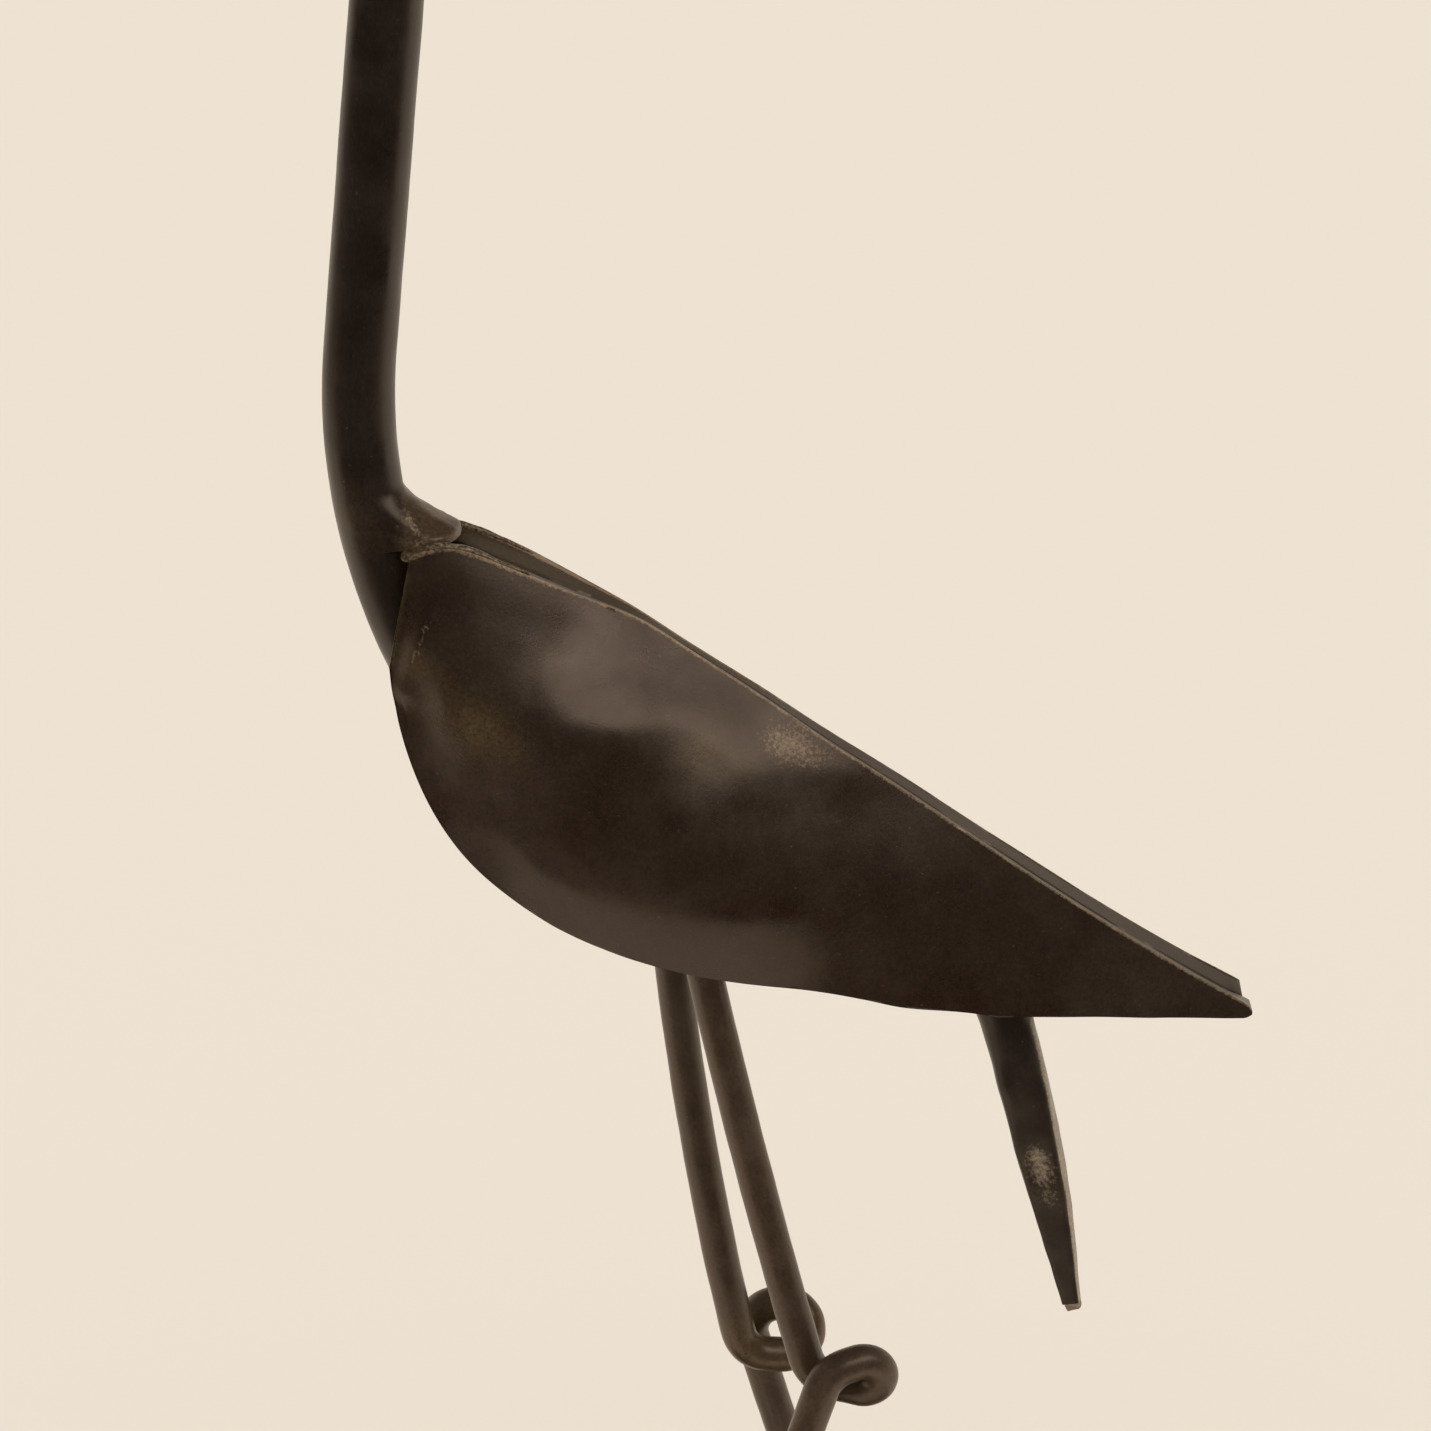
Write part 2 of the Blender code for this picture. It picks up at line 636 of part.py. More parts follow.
def base_plate():
    """The plate, its top and bottom edges lightly broken."""
    levels = (
        (0.0, BASE_CHAMFER),
        (BASE_CHAMFER, 0.0),
        (BASE_THICKNESS - BASE_CHAMFER, 0.0),
        (BASE_THICKNESS, BASE_CHAMFER),
    )
    rings = []
    for z, inset in levels:
        ring = []
        for corner, (sx, sy) in enumerate(((1, 1), (-1, 1), (-1, -1), (1, -1))):
            cx = sx * (BASE_LENGTH / 2.0 - BASE_CORNER_RADIUS)
            cy = sy * (BASE_WIDTH / 2.0 - BASE_CORNER_RADIUS)
            for k in range(BASE_CORNER_STEPS + 1):
                angle = math.radians(90.0 * (corner + k / BASE_CORNER_STEPS))
                radius = BASE_CORNER_RADIUS - inset
                ring.append(Vector((cx + radius * math.cos(angle), cy + radius * math.sin(angle), z)))
        rings.append(ring)
    points, faces = loft(rings)
    return add_piece("base_plate", points, faces, BASE_COLOUR, BASE_ROUGHNESS)


clear_scene()
base_plate()
neck_and_tail_bar()
wing_shell("left_wing_shell", -1.0, 0.0, LEFT_SHELL_COLOUR)
wing_shell("right_wing_shell", 1.0, FAR_WING_SHORTER, RIGHT_SHELL_COLOUR)
_, left_ankle = leg(
    "left_leg",
    -1.0,
    LEFT_HIP_X,
    LEFT_HIP_HEADING,
    LEFT_THIGH_HEADING,
    LEFT_KNEE_Z,
    (LEFT_KNEE_UNDER, LEFT_KNEE_UNDER_HEADING),
    LEFT_KNEE_EYE_RADIUS,
    (LEFT_KNEE_OVER, LEFT_KNEE_OVER_HEADING),
    LEFT_SHIN_HEADING,
    LEFT_LEG_COLOUR,
)
_, right_ankle = leg(
    "right_leg",
    1.0,
    RIGHT_HIP_X,
    RIGHT_HIP_HEADING,
    RIGHT_THIGH_HEADING,
    RIGHT_KNEE_Z,
    (RIGHT_KNEE_UNDER, RIGHT_KNEE_UNDER_HEADING),
    RIGHT_KNEE_EYE_RADIUS,
    (RIGHT_KNEE_OVER, RIGHT_KNEE_OVER_HEADING),
    RIGHT_SHIN_HEADING,
    RIGHT_LEG_COLOUR,
)
foot("left_foot", left_ankle, LEFT_FOOT_COLOUR)
foot("right_foot", right_ankle, RIGHT_FOOT_COLOUR)
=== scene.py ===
"""Looks of the wrought iron wading bird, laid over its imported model.

Each piece of iron gets a finer mesh than its solid, with the hammer's and the torch's marks in it, and a
patina made of nodes. Sizes are in metres and angles in degrees. The bird faces -X, and its left side is -Y.
"""

import math

import bmesh
import bpy
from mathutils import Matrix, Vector, noise


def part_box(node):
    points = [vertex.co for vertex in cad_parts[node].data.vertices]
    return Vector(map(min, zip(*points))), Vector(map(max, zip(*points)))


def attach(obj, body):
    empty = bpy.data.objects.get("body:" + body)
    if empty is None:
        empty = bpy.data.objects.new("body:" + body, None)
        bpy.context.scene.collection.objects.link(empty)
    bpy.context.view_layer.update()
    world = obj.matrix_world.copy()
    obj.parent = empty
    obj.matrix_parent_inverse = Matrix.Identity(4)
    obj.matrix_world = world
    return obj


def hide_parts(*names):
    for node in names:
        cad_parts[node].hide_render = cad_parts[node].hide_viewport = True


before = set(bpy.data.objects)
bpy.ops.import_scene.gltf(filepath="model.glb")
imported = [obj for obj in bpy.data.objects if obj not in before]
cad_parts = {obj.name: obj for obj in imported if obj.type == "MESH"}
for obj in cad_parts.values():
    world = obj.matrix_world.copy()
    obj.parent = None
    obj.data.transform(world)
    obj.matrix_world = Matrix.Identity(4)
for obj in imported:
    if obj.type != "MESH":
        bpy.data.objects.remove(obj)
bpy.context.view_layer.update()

# The forged form comes first, with the same values as in the part's own source.
BASE_THICKNESS = 0.006
FIT_GAP = 0.0003
SEAM_GAP = 0.00006

# Bar: where the neck bends, and the headings, lengths and bends from the beak to the tail.
NECK_BEND_X = -0.0669
NECK_BEND_Z = 0.2850
BEAK_HEADING = 100.0
BEAK_LENGTH = 0.050
HEAD_LENGTH = 0.014
CROOK_RADIUS = 0.020
NECK_HEADING = -5.4
NECK_STRAIGHT = 0.0765
NECK_BEND_RADIUS = 0.103
BREAST_HEADING = 25.5
BREAST_BEND_RADIUS = 0.041
BACK_HEADING = 68.0
BACK_STRAIGHT = 0.0624
RUMP_BEND_RADIUS = 0.031
TAIL_HEADING = 15.0
TAIL_TIP_HEADING = 11.0
TAIL_LENGTH = 0.0532

# Bar: half height and half width along it, where some of these sizes lie on their runs, and the tail's end.
BEAK_TIP = (0.0009, 0.0009)
BEAK_ROOT = (0.0040, 0.0036)
HEAD = (0.0074, 0.0062)
NECK = (0.0060, 0.0060)
BACK = (0.0050, 0.0040)
TAIL_ROOT = (0.0045, 0.0039)
TAIL_MID = (0.0035, 0.0026)
TAIL_TIP = (0.0015, 0.0014)
BEAK_ROOT_SHARE = 0.96
HEAD_MID_SHARE = 0.65
NAPE_SHARE = 0.35
TAIL_MID_SHARE = 0.55
TAIL_SQUARENESS = 6.0
TAIL_TURN = 12.0
TAIL_SQUARED_BY = 0.45
TAIL_BREAK = 0.0024

# Shells: the crest from the shoulder to the wing tip, and the groove between the top edges.
SHOULDER_X = -0.0590
SHOULDER_Z = 0.25535
SHOULDER_SLOPE = -0.326
SHOULDER_DIP = 0.0044
SHOULDER_DIP_SHARE = 0.078
WING_TIP_X = 0.0815
WING_TIP_Z = 0.1712
WING_TIP_SLOPE = -0.530
WING_TIP_HEIGHT = 0.0020
WING_NOSE_LENGTH = 0.0018
WING_NOSE_DROP = 0.0007
WING_SPAN = WING_TIP_X - SHOULDER_X
FAR_WING_SHORTER = 0.0012
CREST_SLOPE = 12.0
SEAM_CLOSED_X = -0.0445

# Weld: its place on the neck, how far and how steeply it reaches back, and the bead behind it.
WELD_HEIGHT = 0.0096
WELD_FOOT = NECK_BEND_Z - SHOULDER_Z + 0.00455
WELD_TOP = WELD_FOOT - WELD_HEIGHT
WELD_EDGE = 0.0013
WELD_REACH = 0.0078
WELD_RISE = 4.0
WELD_WIDENING = 0.45
BEAD_START_X = SHOULDER_X - 0.0006
BEAD_END_X = -0.0395
BEAD_RADIUS = ((BEAD_START_X, 0.0011), (-0.0565, 0.0012), (-0.0505, 0.0008), (BEAD_END_X, 0.0003))

# Shells: the lower edge, a curve from the breast to the rump and straight from there to the wing tip.
BREAST = (-0.0628, 0.2320)
BREAST_HANDLE = (-0.0573, 0.1770)
BELLY_HANDLE = (-0.0094, 0.1798)
RUMP = (0.0385, 0.1702)
RUMP_SHARE = 0.66

# Shells: place along the bird, outer half width at the crest and at the lower edge, dome, and sheet.
SHELL_STATIONS = (
    (-0.0628, 0.0081, 0.0085, 0.0003, 0.0018),
    (-0.0420, 0.0070, 0.0118, 0.0055, 0.0018),
    (-0.0160, 0.0020, 0.0142, 0.0094, 0.0018),
    (0.0170, 0.0036, 0.0098, 0.0032, 0.0018),
    (0.0420, 0.00445, 0.0076, 0.0008, 0.0028),
    (0.0815, 0.0056, 0.0058, 0.0, 0.0028),
)

# Shells: height of the line below which the rim is tucked in, and how steeply, along the bird; then how far
# in at most, and between which places the tuck fades out.
RIM_LINE = (
    (-0.0560, 0.2080),
    (-0.0444, 0.2040),
    (-0.0378, 0.1978),
    (-0.0266, 0.1930),
    (-0.0133, 0.1912),
    (0.0056, 0.1900),
)
RIM_TUCK = ((-0.0560, 0.04), (-0.0400, 0.07), (-0.0150, 0.09), (0.0060, 0.14))
RIM_DEPTH = 0.0014
RIM_END = (0.0160, 0.0040)

# Shells: swells of the crest's line and of the lower edge, each (place along the bird, height, reach).
CREST_SWELLS = ((-0.0216, 0.0007, 0.0075), (0.0094, -0.0004, 0.0085))
EDGE_SWELLS = ((0.0235, -0.0006, 0.0070),)

# Shells: the line of the fold behind the front edge, and its swells across that line.
FOLD_LINE = ((-0.0603, 0.2286), (-0.0566, 0.2408))
FOLD_SWELLS = ((0.0, 0.00062, 0.0017), (-0.0034, -0.00030, 0.0015), (0.0044, -0.00022, 0.0024))

# Shells: height of the soft crease across the side, how much steeper the sheet is below it, and for how far.
CREASE_LINE = (
    (-0.0500, 0.2225),
    (-0.0411, 0.2236),
    (-0.0178, 0.2232),
    (-0.0111, 0.2205),
    (-0.0044, 0.2150),
    (0.0113, 0.2128),
    (0.0300, 0.2050),
)
CREASE_SLOPE = 0.13
CREASE_DEPTH = 0.0008

# Shells: the swell that the crease runs over in front, from its upper end to its hind end, and its height.
SWELL_LINE = ((-0.0566, 0.2340), (-0.0491, 0.2265), (-0.0415, 0.2215), (-0.0240, 0.2220))
SWELL_REACH = 0.0088
SWELL_HEIGHT = 0.0015

# Shells: how far below the crest its side begins to flare out near the weld, how steeply, and how far out.
FLARE_BELOW = 0.0065
FLARE_SLOPE = 0.16
FLARE_DEPTH = 0.0009

# Bare metal colour on the shells: width and strength along the crest, partly real rubbing of the edge and
# partly a painted highlight where the sheet bends over; a painted highlight streak in front, along the fold;
# and a painted highlight patch of soft spots, each (x, z, radius, peak).
CREST_BARE_AND_SHEEN_REACH = ((-0.0590, 0.0016), (-0.0400, 0.0016), (-0.0240, 0.0009), (0.0815, 0.0006))
CREST_BARE_AND_SHEEN = ((-0.0590, 0.55), (-0.0430, 0.95), (-0.0240, 0.80), (0.0815, 0.55))
FRONT_PAINTED_HIGHLIGHT = ((-0.0588, 0.2338), (-0.0558, 0.2408))
PAINTED_HIGHLIGHT_PATCH = (
    (0.0006, 0.2189, 0.0036, 0.36),
    (0.0050, 0.2170, 0.0036, 0.42),
    (0.0094, 0.2147, 0.0030, 0.24),
)

# Olive brown on the shells: strength along their top faces, partly the sheet's own olive and partly painted
# light that lightens these faces; a painted highlight along the rim of the front edge; and soft spots on
# their sides, partly olive tone and partly painted highlights.
CREST_OLIVE_AND_SHEEN = ((-0.0590, 0.60), (-0.0220, 0.45), (0.0000, 0.20), (0.0815, 0.10))
FRONT_RIM_HIGHLIGHT = ((-0.0626, 0.2330), (-0.0600, 0.2480))
OLIVE_HIGHLIGHT_SPOTS = (
    (-0.0545, 0.2290, 0.0050, 0.30),
    (-0.0478, 0.2240, 0.0046, 0.85),
    (-0.0425, 0.2205, 0.0034, 0.45),
    (-0.0112, 0.2188, 0.0032, 0.65),
    (-0.0050, 0.2165, 0.0045, 0.25),
    (-0.0590, 0.2335, 0.0030, 0.50),
)

# Marks on the bar: a painted highlight streak along the weld's ridge, warm patches, and the blow on the tail
# with painted highlight spots on it.
WELD_PAINTED_HIGHLIGHT = ((-0.0566, 0.2525), (-0.0612, 0.2600))
WARM_PATCHES = ((-0.0700, 0.2560, 0.0060, 0.35), (0.0460, 0.1380, 0.0050, 0.25))
BLOW_X = 0.0459
BLOW_Z = 0.1400
BLOW_DEPTH = 0.00042
BLOW_REACH = 0.0024
TAIL_PAINTED_HIGHLIGHTS = (
    (0.0458, 0.1432, 0.0022, 0.55),
    (0.0468, 0.1395, 0.0025, 0.60),
    (0.0480, 0.1348, 0.0022, 0.40),
)

# Legs: the rod, its place inside the widest part of its shell, and how far it stands out on the way down.
ROD_RADIUS = 0.00305
LEG_TOP_INSIDE = 0.0150
HIP_Z = 0.1710
HIP_CLEARANCE = 0.00055
THIGH_SPREAD = 0.0012
KNEE_CLEARANCE = 0.0029
ANKLE_SPREAD = 0.0010
SHELL_HALF_WIDTH, SHELL_SHEET = SHELL_STATIONS[2][2], SHELL_STATIONS[2][4]
HIP_Y = SHELL_HALF_WIDTH - SHELL_SHEET - HIP_CLEARANCE - ROD_RADIUS
THIGH_Y = HIP_Y + THIGH_SPREAD
KNEE_PITCH = 2.0 * ROD_RADIUS + KNEE_CLEARANCE
ANKLE_Y = THIGH_Y + KNEE_PITCH + ANKLE_SPREAD
KNEE_EASE_RADIUS = 0.0060
ANKLE_BEND_RADIUS = 0.0090
ANKLE_STRAIGHT = 0.0025
HUB_HEIGHT = 0.0062

# Legs: side, hip, headings of hip, thigh and shin, height of the knee, and the loop's run under its eye,
# eye radius and run over it.
LEFT_LEG = dict(
    side=-1.0, hip_x=-0.0091, hip=12.5, thigh=15.5, shin=-18.3, knee_z=0.1088,
    under=(0.0036, 86.0), eye=0.0035, over=(0.0015, 282.0),
)
RIGHT_LEG = dict(
    side=1.0, hip_x=-0.0161, hip=6.5, thigh=12.4, shin=16.8, knee_z=0.1042,
    under=(0.0030, 80.0), eye=0.0039, over=(0.0004, 278.0),
)

# Feet: half width and height of a toe at its root and at its tip, and the hub's radius at its foot and top.
FRONT_TOE_LENGTH = 0.0300
BACK_TOE_LENGTH = 0.0150
TOE_SPREAD = 36.0
TOE_ROOT = (0.0026, 0.0041)
TOE_TIP = (0.0011, 0.0017)
HUB_RADIUS = (0.0056, 0.0040)

# Camera: the photograph looks along +Y and down by this angle, at a bird this many pixels to the metre.
PHOTO_SIDE = 1431.0
CAMERA_DOWN = 18.0
CAMERA_DISTANCE = 0.900
PIXELS_PER_METRE = 6000.0
CAMERA_TARGET = Vector((-0.009, 0.0, 0.221))

# Stage: how far the floor reaches, how far in front and to the left of the bird the iron mirrors it, and how
# far the mirrored cloth behind is turned.
FLOOR_REACH = 8.0
CLOTH_FRONT = -0.17
CLOTH_LEFT = -1.2
CLOTH_TURN = 8.0

# Stage: colours of the floor, of what is seen behind it, of the even light, and of what the iron mirrors.
FLOOR_COLOUR = (0.80, 0.745, 0.67, 1.0)
BACKDROP = (0.856, 0.760, 0.643, 1.0)
ROOM_COLOUR = (1.0, 0.955, 0.90, 1.0)
ROOM_STRENGTH = 1.07
MIRRORED_ROOM = (0.022, 0.018, 0.015, 1.0)
MIRRORED_CLOTH = (0.70, 0.62, 0.52, 1.0)


def straight(length):
    """A step of a path that keeps its heading."""
    return (length, 0.0)


def bend(radius, turn):
    """A step of a path that turns by an angle at a radius."""
    return (radius * math.radians(abs(turn)), turn)


def path_point(start, heading, steps, distance):
    """Position (x, z) and heading after a distance along straight and bent steps."""
    x, z = start
    for length, turn in steps:
        part = min(distance, length)
        turned = math.radians(turn) * part / length
        angle = math.radians(heading)
        chord = part
        if abs(turned) > 1e-9:
            chord = part * math.sin(turned / 2.0) / (turned / 2.0)
        x += chord * math.sin(angle + turned / 2.0)
        z -= chord * math.cos(angle + turned / 2.0)
        heading += math.degrees(turned)
        distance -= part
        if distance <= 0.0:
            break
    return x, z, heading


def between(stations, at):
    """Smooth value between (place, value) stations that never passes beyond its neighbours."""
    if at <= stations[0][0]:
        return stations[0][1]
    if at >= stations[-1][0]:
        return stations[-1][1]
    slopes = [(b[1] - a[1]) / (b[0] - a[0]) for a, b in zip(stations, stations[1:])]
    tangents = [slopes[0]]
    for before, after in zip(slopes, slopes[1:]):
        same_way = before * after > 0.0
        tangents.append(2.0 * before * after / (before + after) if same_way else 0.0)
    tangents.append(slopes[-1])
    for i, (low, high) in enumerate(zip(stations, stations[1:])):
        if at <= high[0]:
            break
    span = high[0] - low[0]
    t = (at - low[0]) / span
    return (
        (2 * t**3 - 3 * t**2 + 1) * low[1]
        + (t**3 - 2 * t**2 + t) * tangents[i] * span
        + (3 * t**2 - 2 * t**3) * high[1]
        + (t**3 - t**2) * tangents[i + 1] * span
    )


def ramp(low, high, at):
    """0 below low, 1 above high, and smooth between them."""
    share = min(1.0, max(0.0, (at - low) / (high - low)))
    return share * share * (3.0 - 2.0 * share)


def swells(rows, at):
    """Sum of soft swells at a place along a line, each swell (place, height, reach)."""
    return sum(height * math.exp(-(((at - place) / reach) ** 2)) for place, height, reach in rows)


def spots(place, centres):
    """Sum of soft round marks at a place, each mark (x, z, radius, peak)."""
    return sum(
        peak * math.exp(-(((place.x - x) ** 2 + (place.z - z) ** 2) / radius**2))
        for x, z, radius, peak in centres
    )


def off_line(place, low, high):
    """Distance from a line between two points (x, z), seen from the side: minus before it, plus behind."""
    flat, start = Vector((place.x, place.z)), Vector(low)
    run = Vector(high) - start
    share = min(1.0, max(0.0, (flat - start).dot(run) / run.length_squared))
    offset = flat - (start + run * share)
    return math.copysign(offset.length, offset.x)


def streak(place, line, outer, inner):
    """1 within the inner distance from a line, 0 beyond the outer one."""
    return ramp(outer, inner, abs(off_line(place, *line)))


def lumps(place, size, seed=0.0):
    """Smooth random height from -1 to 1, with lumps of about that size."""
    return noise.noise(place / size + Vector((seed, 3.7 * seed, -1.9 * seed)))


def dents(place, size, seed=0.0):
    """Hammer facets from 0 in their hollows to about 1 on the ridges between them."""
    near = noise.voronoi(place / size + Vector((seed, -2.3 * seed, 5.1 * seed)))[0]
    return min(1.0, near[0] * 1.4)


# Meshes

def wrapped(around, stations, point_at):
    """A tube rolled up from a flat grid by point_at(station, turn), its seam welded and its ends filled."""
    work = bmesh.new()
    along = len(stations) - 1
    work.loops.layers.uv.new("run")
    bmesh.ops.create_grid(work, x_segments=around, y_segments=along, size=0.5, calc_uvs=True)
    low = min(v.co.x for v in work.verts)
    span = max(v.co.x for v in work.verts) - low
    for v in work.verts:
        turn = (v.co.x - low) / span
        step = round((v.co.y - low) / span * along)
        v.co = point_at(stations[step], 0.0 if turn > 0.99999 else turn)
    bmesh.ops.remove_doubles(work, verts=work.verts, dist=1e-7)
    ends = [e for e in work.edges if e.is_boundary]
    bmesh.ops.holes_fill(work, edges=ends, sides=0)
    bmesh.ops.recalc_face_normals(work, faces=work.faces)
    return work


def roughened(work, relief):
    """Each vertex moved along its normal by relief(position, normal)."""
    work.normal_update()
    moves = [v.normal * relief(v.co.copy(), v.normal.copy()) for v in work.verts]
    for v, move in zip(work.verts, moves):
        v.co += move


def rounded(work, edges, width, segments):
    """Those edges of a bmesh rounded off."""
    bmesh.ops.bevel(
        work, geom=edges, offset=width, segments=segments, profile=0.5, affect="EDGES",
        clamp_overlap=True, material=-1,
    )


def marked(work, name, value_at):
    """A number on each vertex, from value_at(position, normal), for the materials to read by that name."""
    layer = work.verts.layers.float.new(name)
    work.normal_update()
    for v in work.verts:
        v[layer] = value_at(v.co, v.normal)


def nothing(place, normal):
    """No relief, or no mark, anywhere."""
    return 0.0


def finished(work, name, material, slot, relief, bare_and_sheen, bronze_and_sheen, *nodes):
    """The piece made of a bmesh with its relief and marks, riding on the body, in place of its nodes."""
    roughened(work, relief)
    marked(work, "bare_and_sheen", bare_and_sheen)
    marked(work, "bronzed_and_sheen", bronze_and_sheen)
    mesh = bpy.data.meshes.new(name)
    bmesh.ops.recalc_face_normals(work, faces=work.faces)
    work.to_mesh(mesh)
    work.free()
    mesh.shade_smooth()
    mesh.set_sharp_from_angle(angle=math.radians(50.0))
    mesh.materials.append(material)
    piece = bpy.data.objects.new(name, mesh)
    bpy.context.scene.collection.objects.link(piece)
    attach(piece, "root")
    if nodes:
        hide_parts(*nodes)
    return piece


# Neck and tail bar

def bar_steps():
    """Runs and bends of the bar, from the tip of the beak to the tip of the tail."""
    return [
        straight(BEAK_LENGTH),
        straight(HEAD_LENGTH),
        bend(CROOK_RADIUS, NECK_HEADING - BEAK_HEADING),
        straight(NECK_STRAIGHT),
        bend(NECK_BEND_RADIUS, BREAST_HEADING - NECK_HEADING),
        bend(BREAST_BEND_RADIUS, BACK_HEADING - BREAST_HEADING),
        straight(BACK_STRAIGHT),
        bend(RUMP_BEND_RADIUS, TAIL_HEADING - BACK_HEADING),
        (TAIL_LENGTH, TAIL_TIP_HEADING - TAIL_HEADING),
    ]


def weld_flare(past):
    """Share of the weld's reach, growing down the neck and ending on the shells."""
    if past < WELD_TOP or past > WELD_FOOT + 1e-6:
        return 0.0
    return min(1.0, (past - WELD_TOP) / (WELD_FOOT - WELD_EDGE - WELD_TOP)) ** 1.5


def bar_mesh():
    """The bar: beak and head, round neck, the weld's saddle behind it, and the hammered tail."""
    steps = bar_steps()
    ends = [0.0]
    for length, _ in steps:
        ends.append(ends[-1] + length)
    beak_root, head_back, crook_end, neck_bend = ends[1], ends[2], ends[3], ends[4]
    breast, back_start, back_end, rump, tip = ends[5], ends[6], ends[7], ends[8], ends[9]
    x, z, _ = path_point((0.0, 0.0), BEAK_HEADING, steps, neck_bend)
    start = (NECK_BEND_X - x, NECK_BEND_Z - z)
    places = (
        (0.0, BEAK_TIP),
        (BEAK_ROOT_SHARE * beak_root, BEAK_ROOT),
        (beak_root + HEAD_MID_SHARE * HEAD_LENGTH, HEAD),
        (head_back + NAPE_SHARE * (crook_end - head_back), NECK),
        (breast, NECK),
        (back_start, BACK),
        (back_end, BACK),
        (rump, TAIL_ROOT),
        (rump + TAIL_MID_SHARE * (tip - rump), TAIL_MID),
        (tip, TAIL_TIP),
    )
    heights = [(place, size[0]) for place, size in places]
    widths = [(place, size[1]) for place, size in places]
    rise = math.radians(WELD_RISE)
    backward = Vector((math.cos(rise), 0.0, math.sin(rise))) * WELD_REACH

    def point_at(distance, turn):
        x, z, heading = path_point(start, BEAK_HEADING, steps, distance)
        angle = math.radians(heading)
        across = Vector((math.cos(angle), 0.0, math.sin(angle)))
        hammered = min(1.0, max(0.0, (distance - rump) / (tip - rump)) / TAIL_SQUARED_BY)
        power = 2.0 / (2.0 + (TAIL_SQUARENESS - 2.0) * hammered)
        turned = math.radians(TAIL_TURN * hammered)
        c, s = math.cos(2.0 * math.pi * turn), math.sin(2.0 * math.pi * turn)
        u = math.copysign(abs(c) ** power, c) * between(heights, distance)
        v = math.copysign(abs(s) ** power, s) * between(widths, distance)
        u, v = u * math.cos(turned) + v * math.sin(turned), v * math.cos(turned) - u * math.sin(turned)
        flare = weld_flare(distance - neck_bend)
        share = flare * (1.0 - (1.0 - max(0.0, c)) ** 3)
        point = Vector((x, v * (1.0 + WELD_WIDENING * share), z)) + across * u
        if distance > tip - 1e-6:
            broken = TAIL_BREAK * max(0.0, s) ** 0.7 * (1.0 - 0.35 * c)
            point += Vector((math.sin(angle), 0.0, -math.cos(angle))) * broken
        return point + backward * share

    stations = []
    step = 0.0009
    count = int(tip / step)
    low, high = neck_bend + WELD_TOP, neck_bend + WELD_FOOT
    for i in range(count + 1):
        distance = tip * i / count
        if not low - 0.0002 < distance < high + 0.0010:
            stations.append(distance)
    stations += [low + (high - low) * i / 24.0 for i in range(25)] + [high + 0.0004, tip - 0.0001]
    return wrapped(56, sorted(stations), point_at)


def on_weld(place):
    """1 on the weld behind the neck, 0 away from it."""
    return ramp(-0.0612, -0.0594, place.x) * ramp(0.2475, 0.2500, place.z) * ramp(0.2632, 0.2600, place.z)


def bar_relief(place, normal):
    """Forging marks: faint on the neck, strong on the tail with one deep blow, lumpy on the weld."""
    on_tail = ramp(0.176, 0.160, place.z) * ramp(0.020, 0.030, place.x)
    move = 0.00008 * lumps(place, 0.011) + 0.00003 * lumps(place, 0.0035, 2.0)
    move += on_tail * (0.00012 * lumps(place, 0.0050, 5.0) + 0.00010 * (dents(place, 0.0060, 1.0) - 0.5))
    if normal.y < 0.0:
        off_blow = math.hypot(place.x - BLOW_X, place.z - BLOW_Z)
        move -= BLOW_DEPTH * math.exp(-((off_blow / BLOW_REACH) ** 2))
    move += on_weld(place) * (0.00020 * lumps(place, 0.0024, 8.0) + 0.00008 * lumps(place, 0.0011, 9.0))
    return move


def bar_bare_and_sheen(place, normal):
    """Bare metal colour: a painted highlight streak on the weld, a painted reflection on the tail's hind
    face, painted highlights at the blow, and the broken end's bare metal.
    """
    on_tail = ramp(0.170, 0.166, place.z) * ramp(0.020, 0.030, place.x)
    # Painted reflection of the pale backdrop on the tail's hind face.
    hind = 0.62 * ramp(0.60, 0.85, normal.x)
    # Painted highlights at the blow on the tail's near face.
    painted_highlight = spots(place, TAIL_PAINTED_HIGHLIGHTS) * ramp(-0.3, -0.6, normal.y)
    broken = 0.95 * ramp(-0.20, -0.40, normal.z) * ramp(0.1210, 0.1190, place.z)
    # Painted highlight along the weld's ridge.
    weld_highlight = 0.42 * streak(place, WELD_PAINTED_HIGHLIGHT, 0.0011, 0.0003) * on_weld(place)
    return max(weld_highlight, on_tail * max(hind, painted_highlight, broken))


def bar_bronze(place, normal):
    """The weld's olive brown, and faint warm patches low on the neck and on the tail."""
    return min(1.0, 0.8 * on_weld(place) + spots(place, WARM_PATCHES))


def bead_painted_highlight(place, normal):
    """A painted highlight: the bead shines a little on its outer side."""
    return 0.42 * ramp(-0.0600, -0.0540, place.x) * ramp(0.0035, 0.0060, abs(place.y))


def bead_bronze(place, normal):
    """The bead is olive brown all along."""
    return 0.9


def weld_bead_mesh():
    """The bead from the neck's foot along the crests of both shells, thick at first and then thin."""
    work = bmesh.new()
    count = 46
    for i in range(count):
        x = BEAD_START_X + (BEAD_END_X - BEAD_START_X) * i / (count - 1)
        crest_z = crest_at(x)[1]
        radius = between(BEAD_RADIUS, x)
        for side in (-1.0, 1.0):
            wander = lumps(Vector((x, side, 0.0)), 0.0030, 31.0)
            y = side * (shell_widths(x)[0] - 0.75 * radius)
            z = crest_z - 0.25 * radius + 0.00012 * wander
            ball = bmesh.ops.create_icosphere(work, subdivisions=2, radius=radius * (1.0 + 0.22 * wander))
            bmesh.ops.translate(work, vec=(x, y, z), verts=ball["verts"])
    return fused(work, 0.00022)


# Wing shells

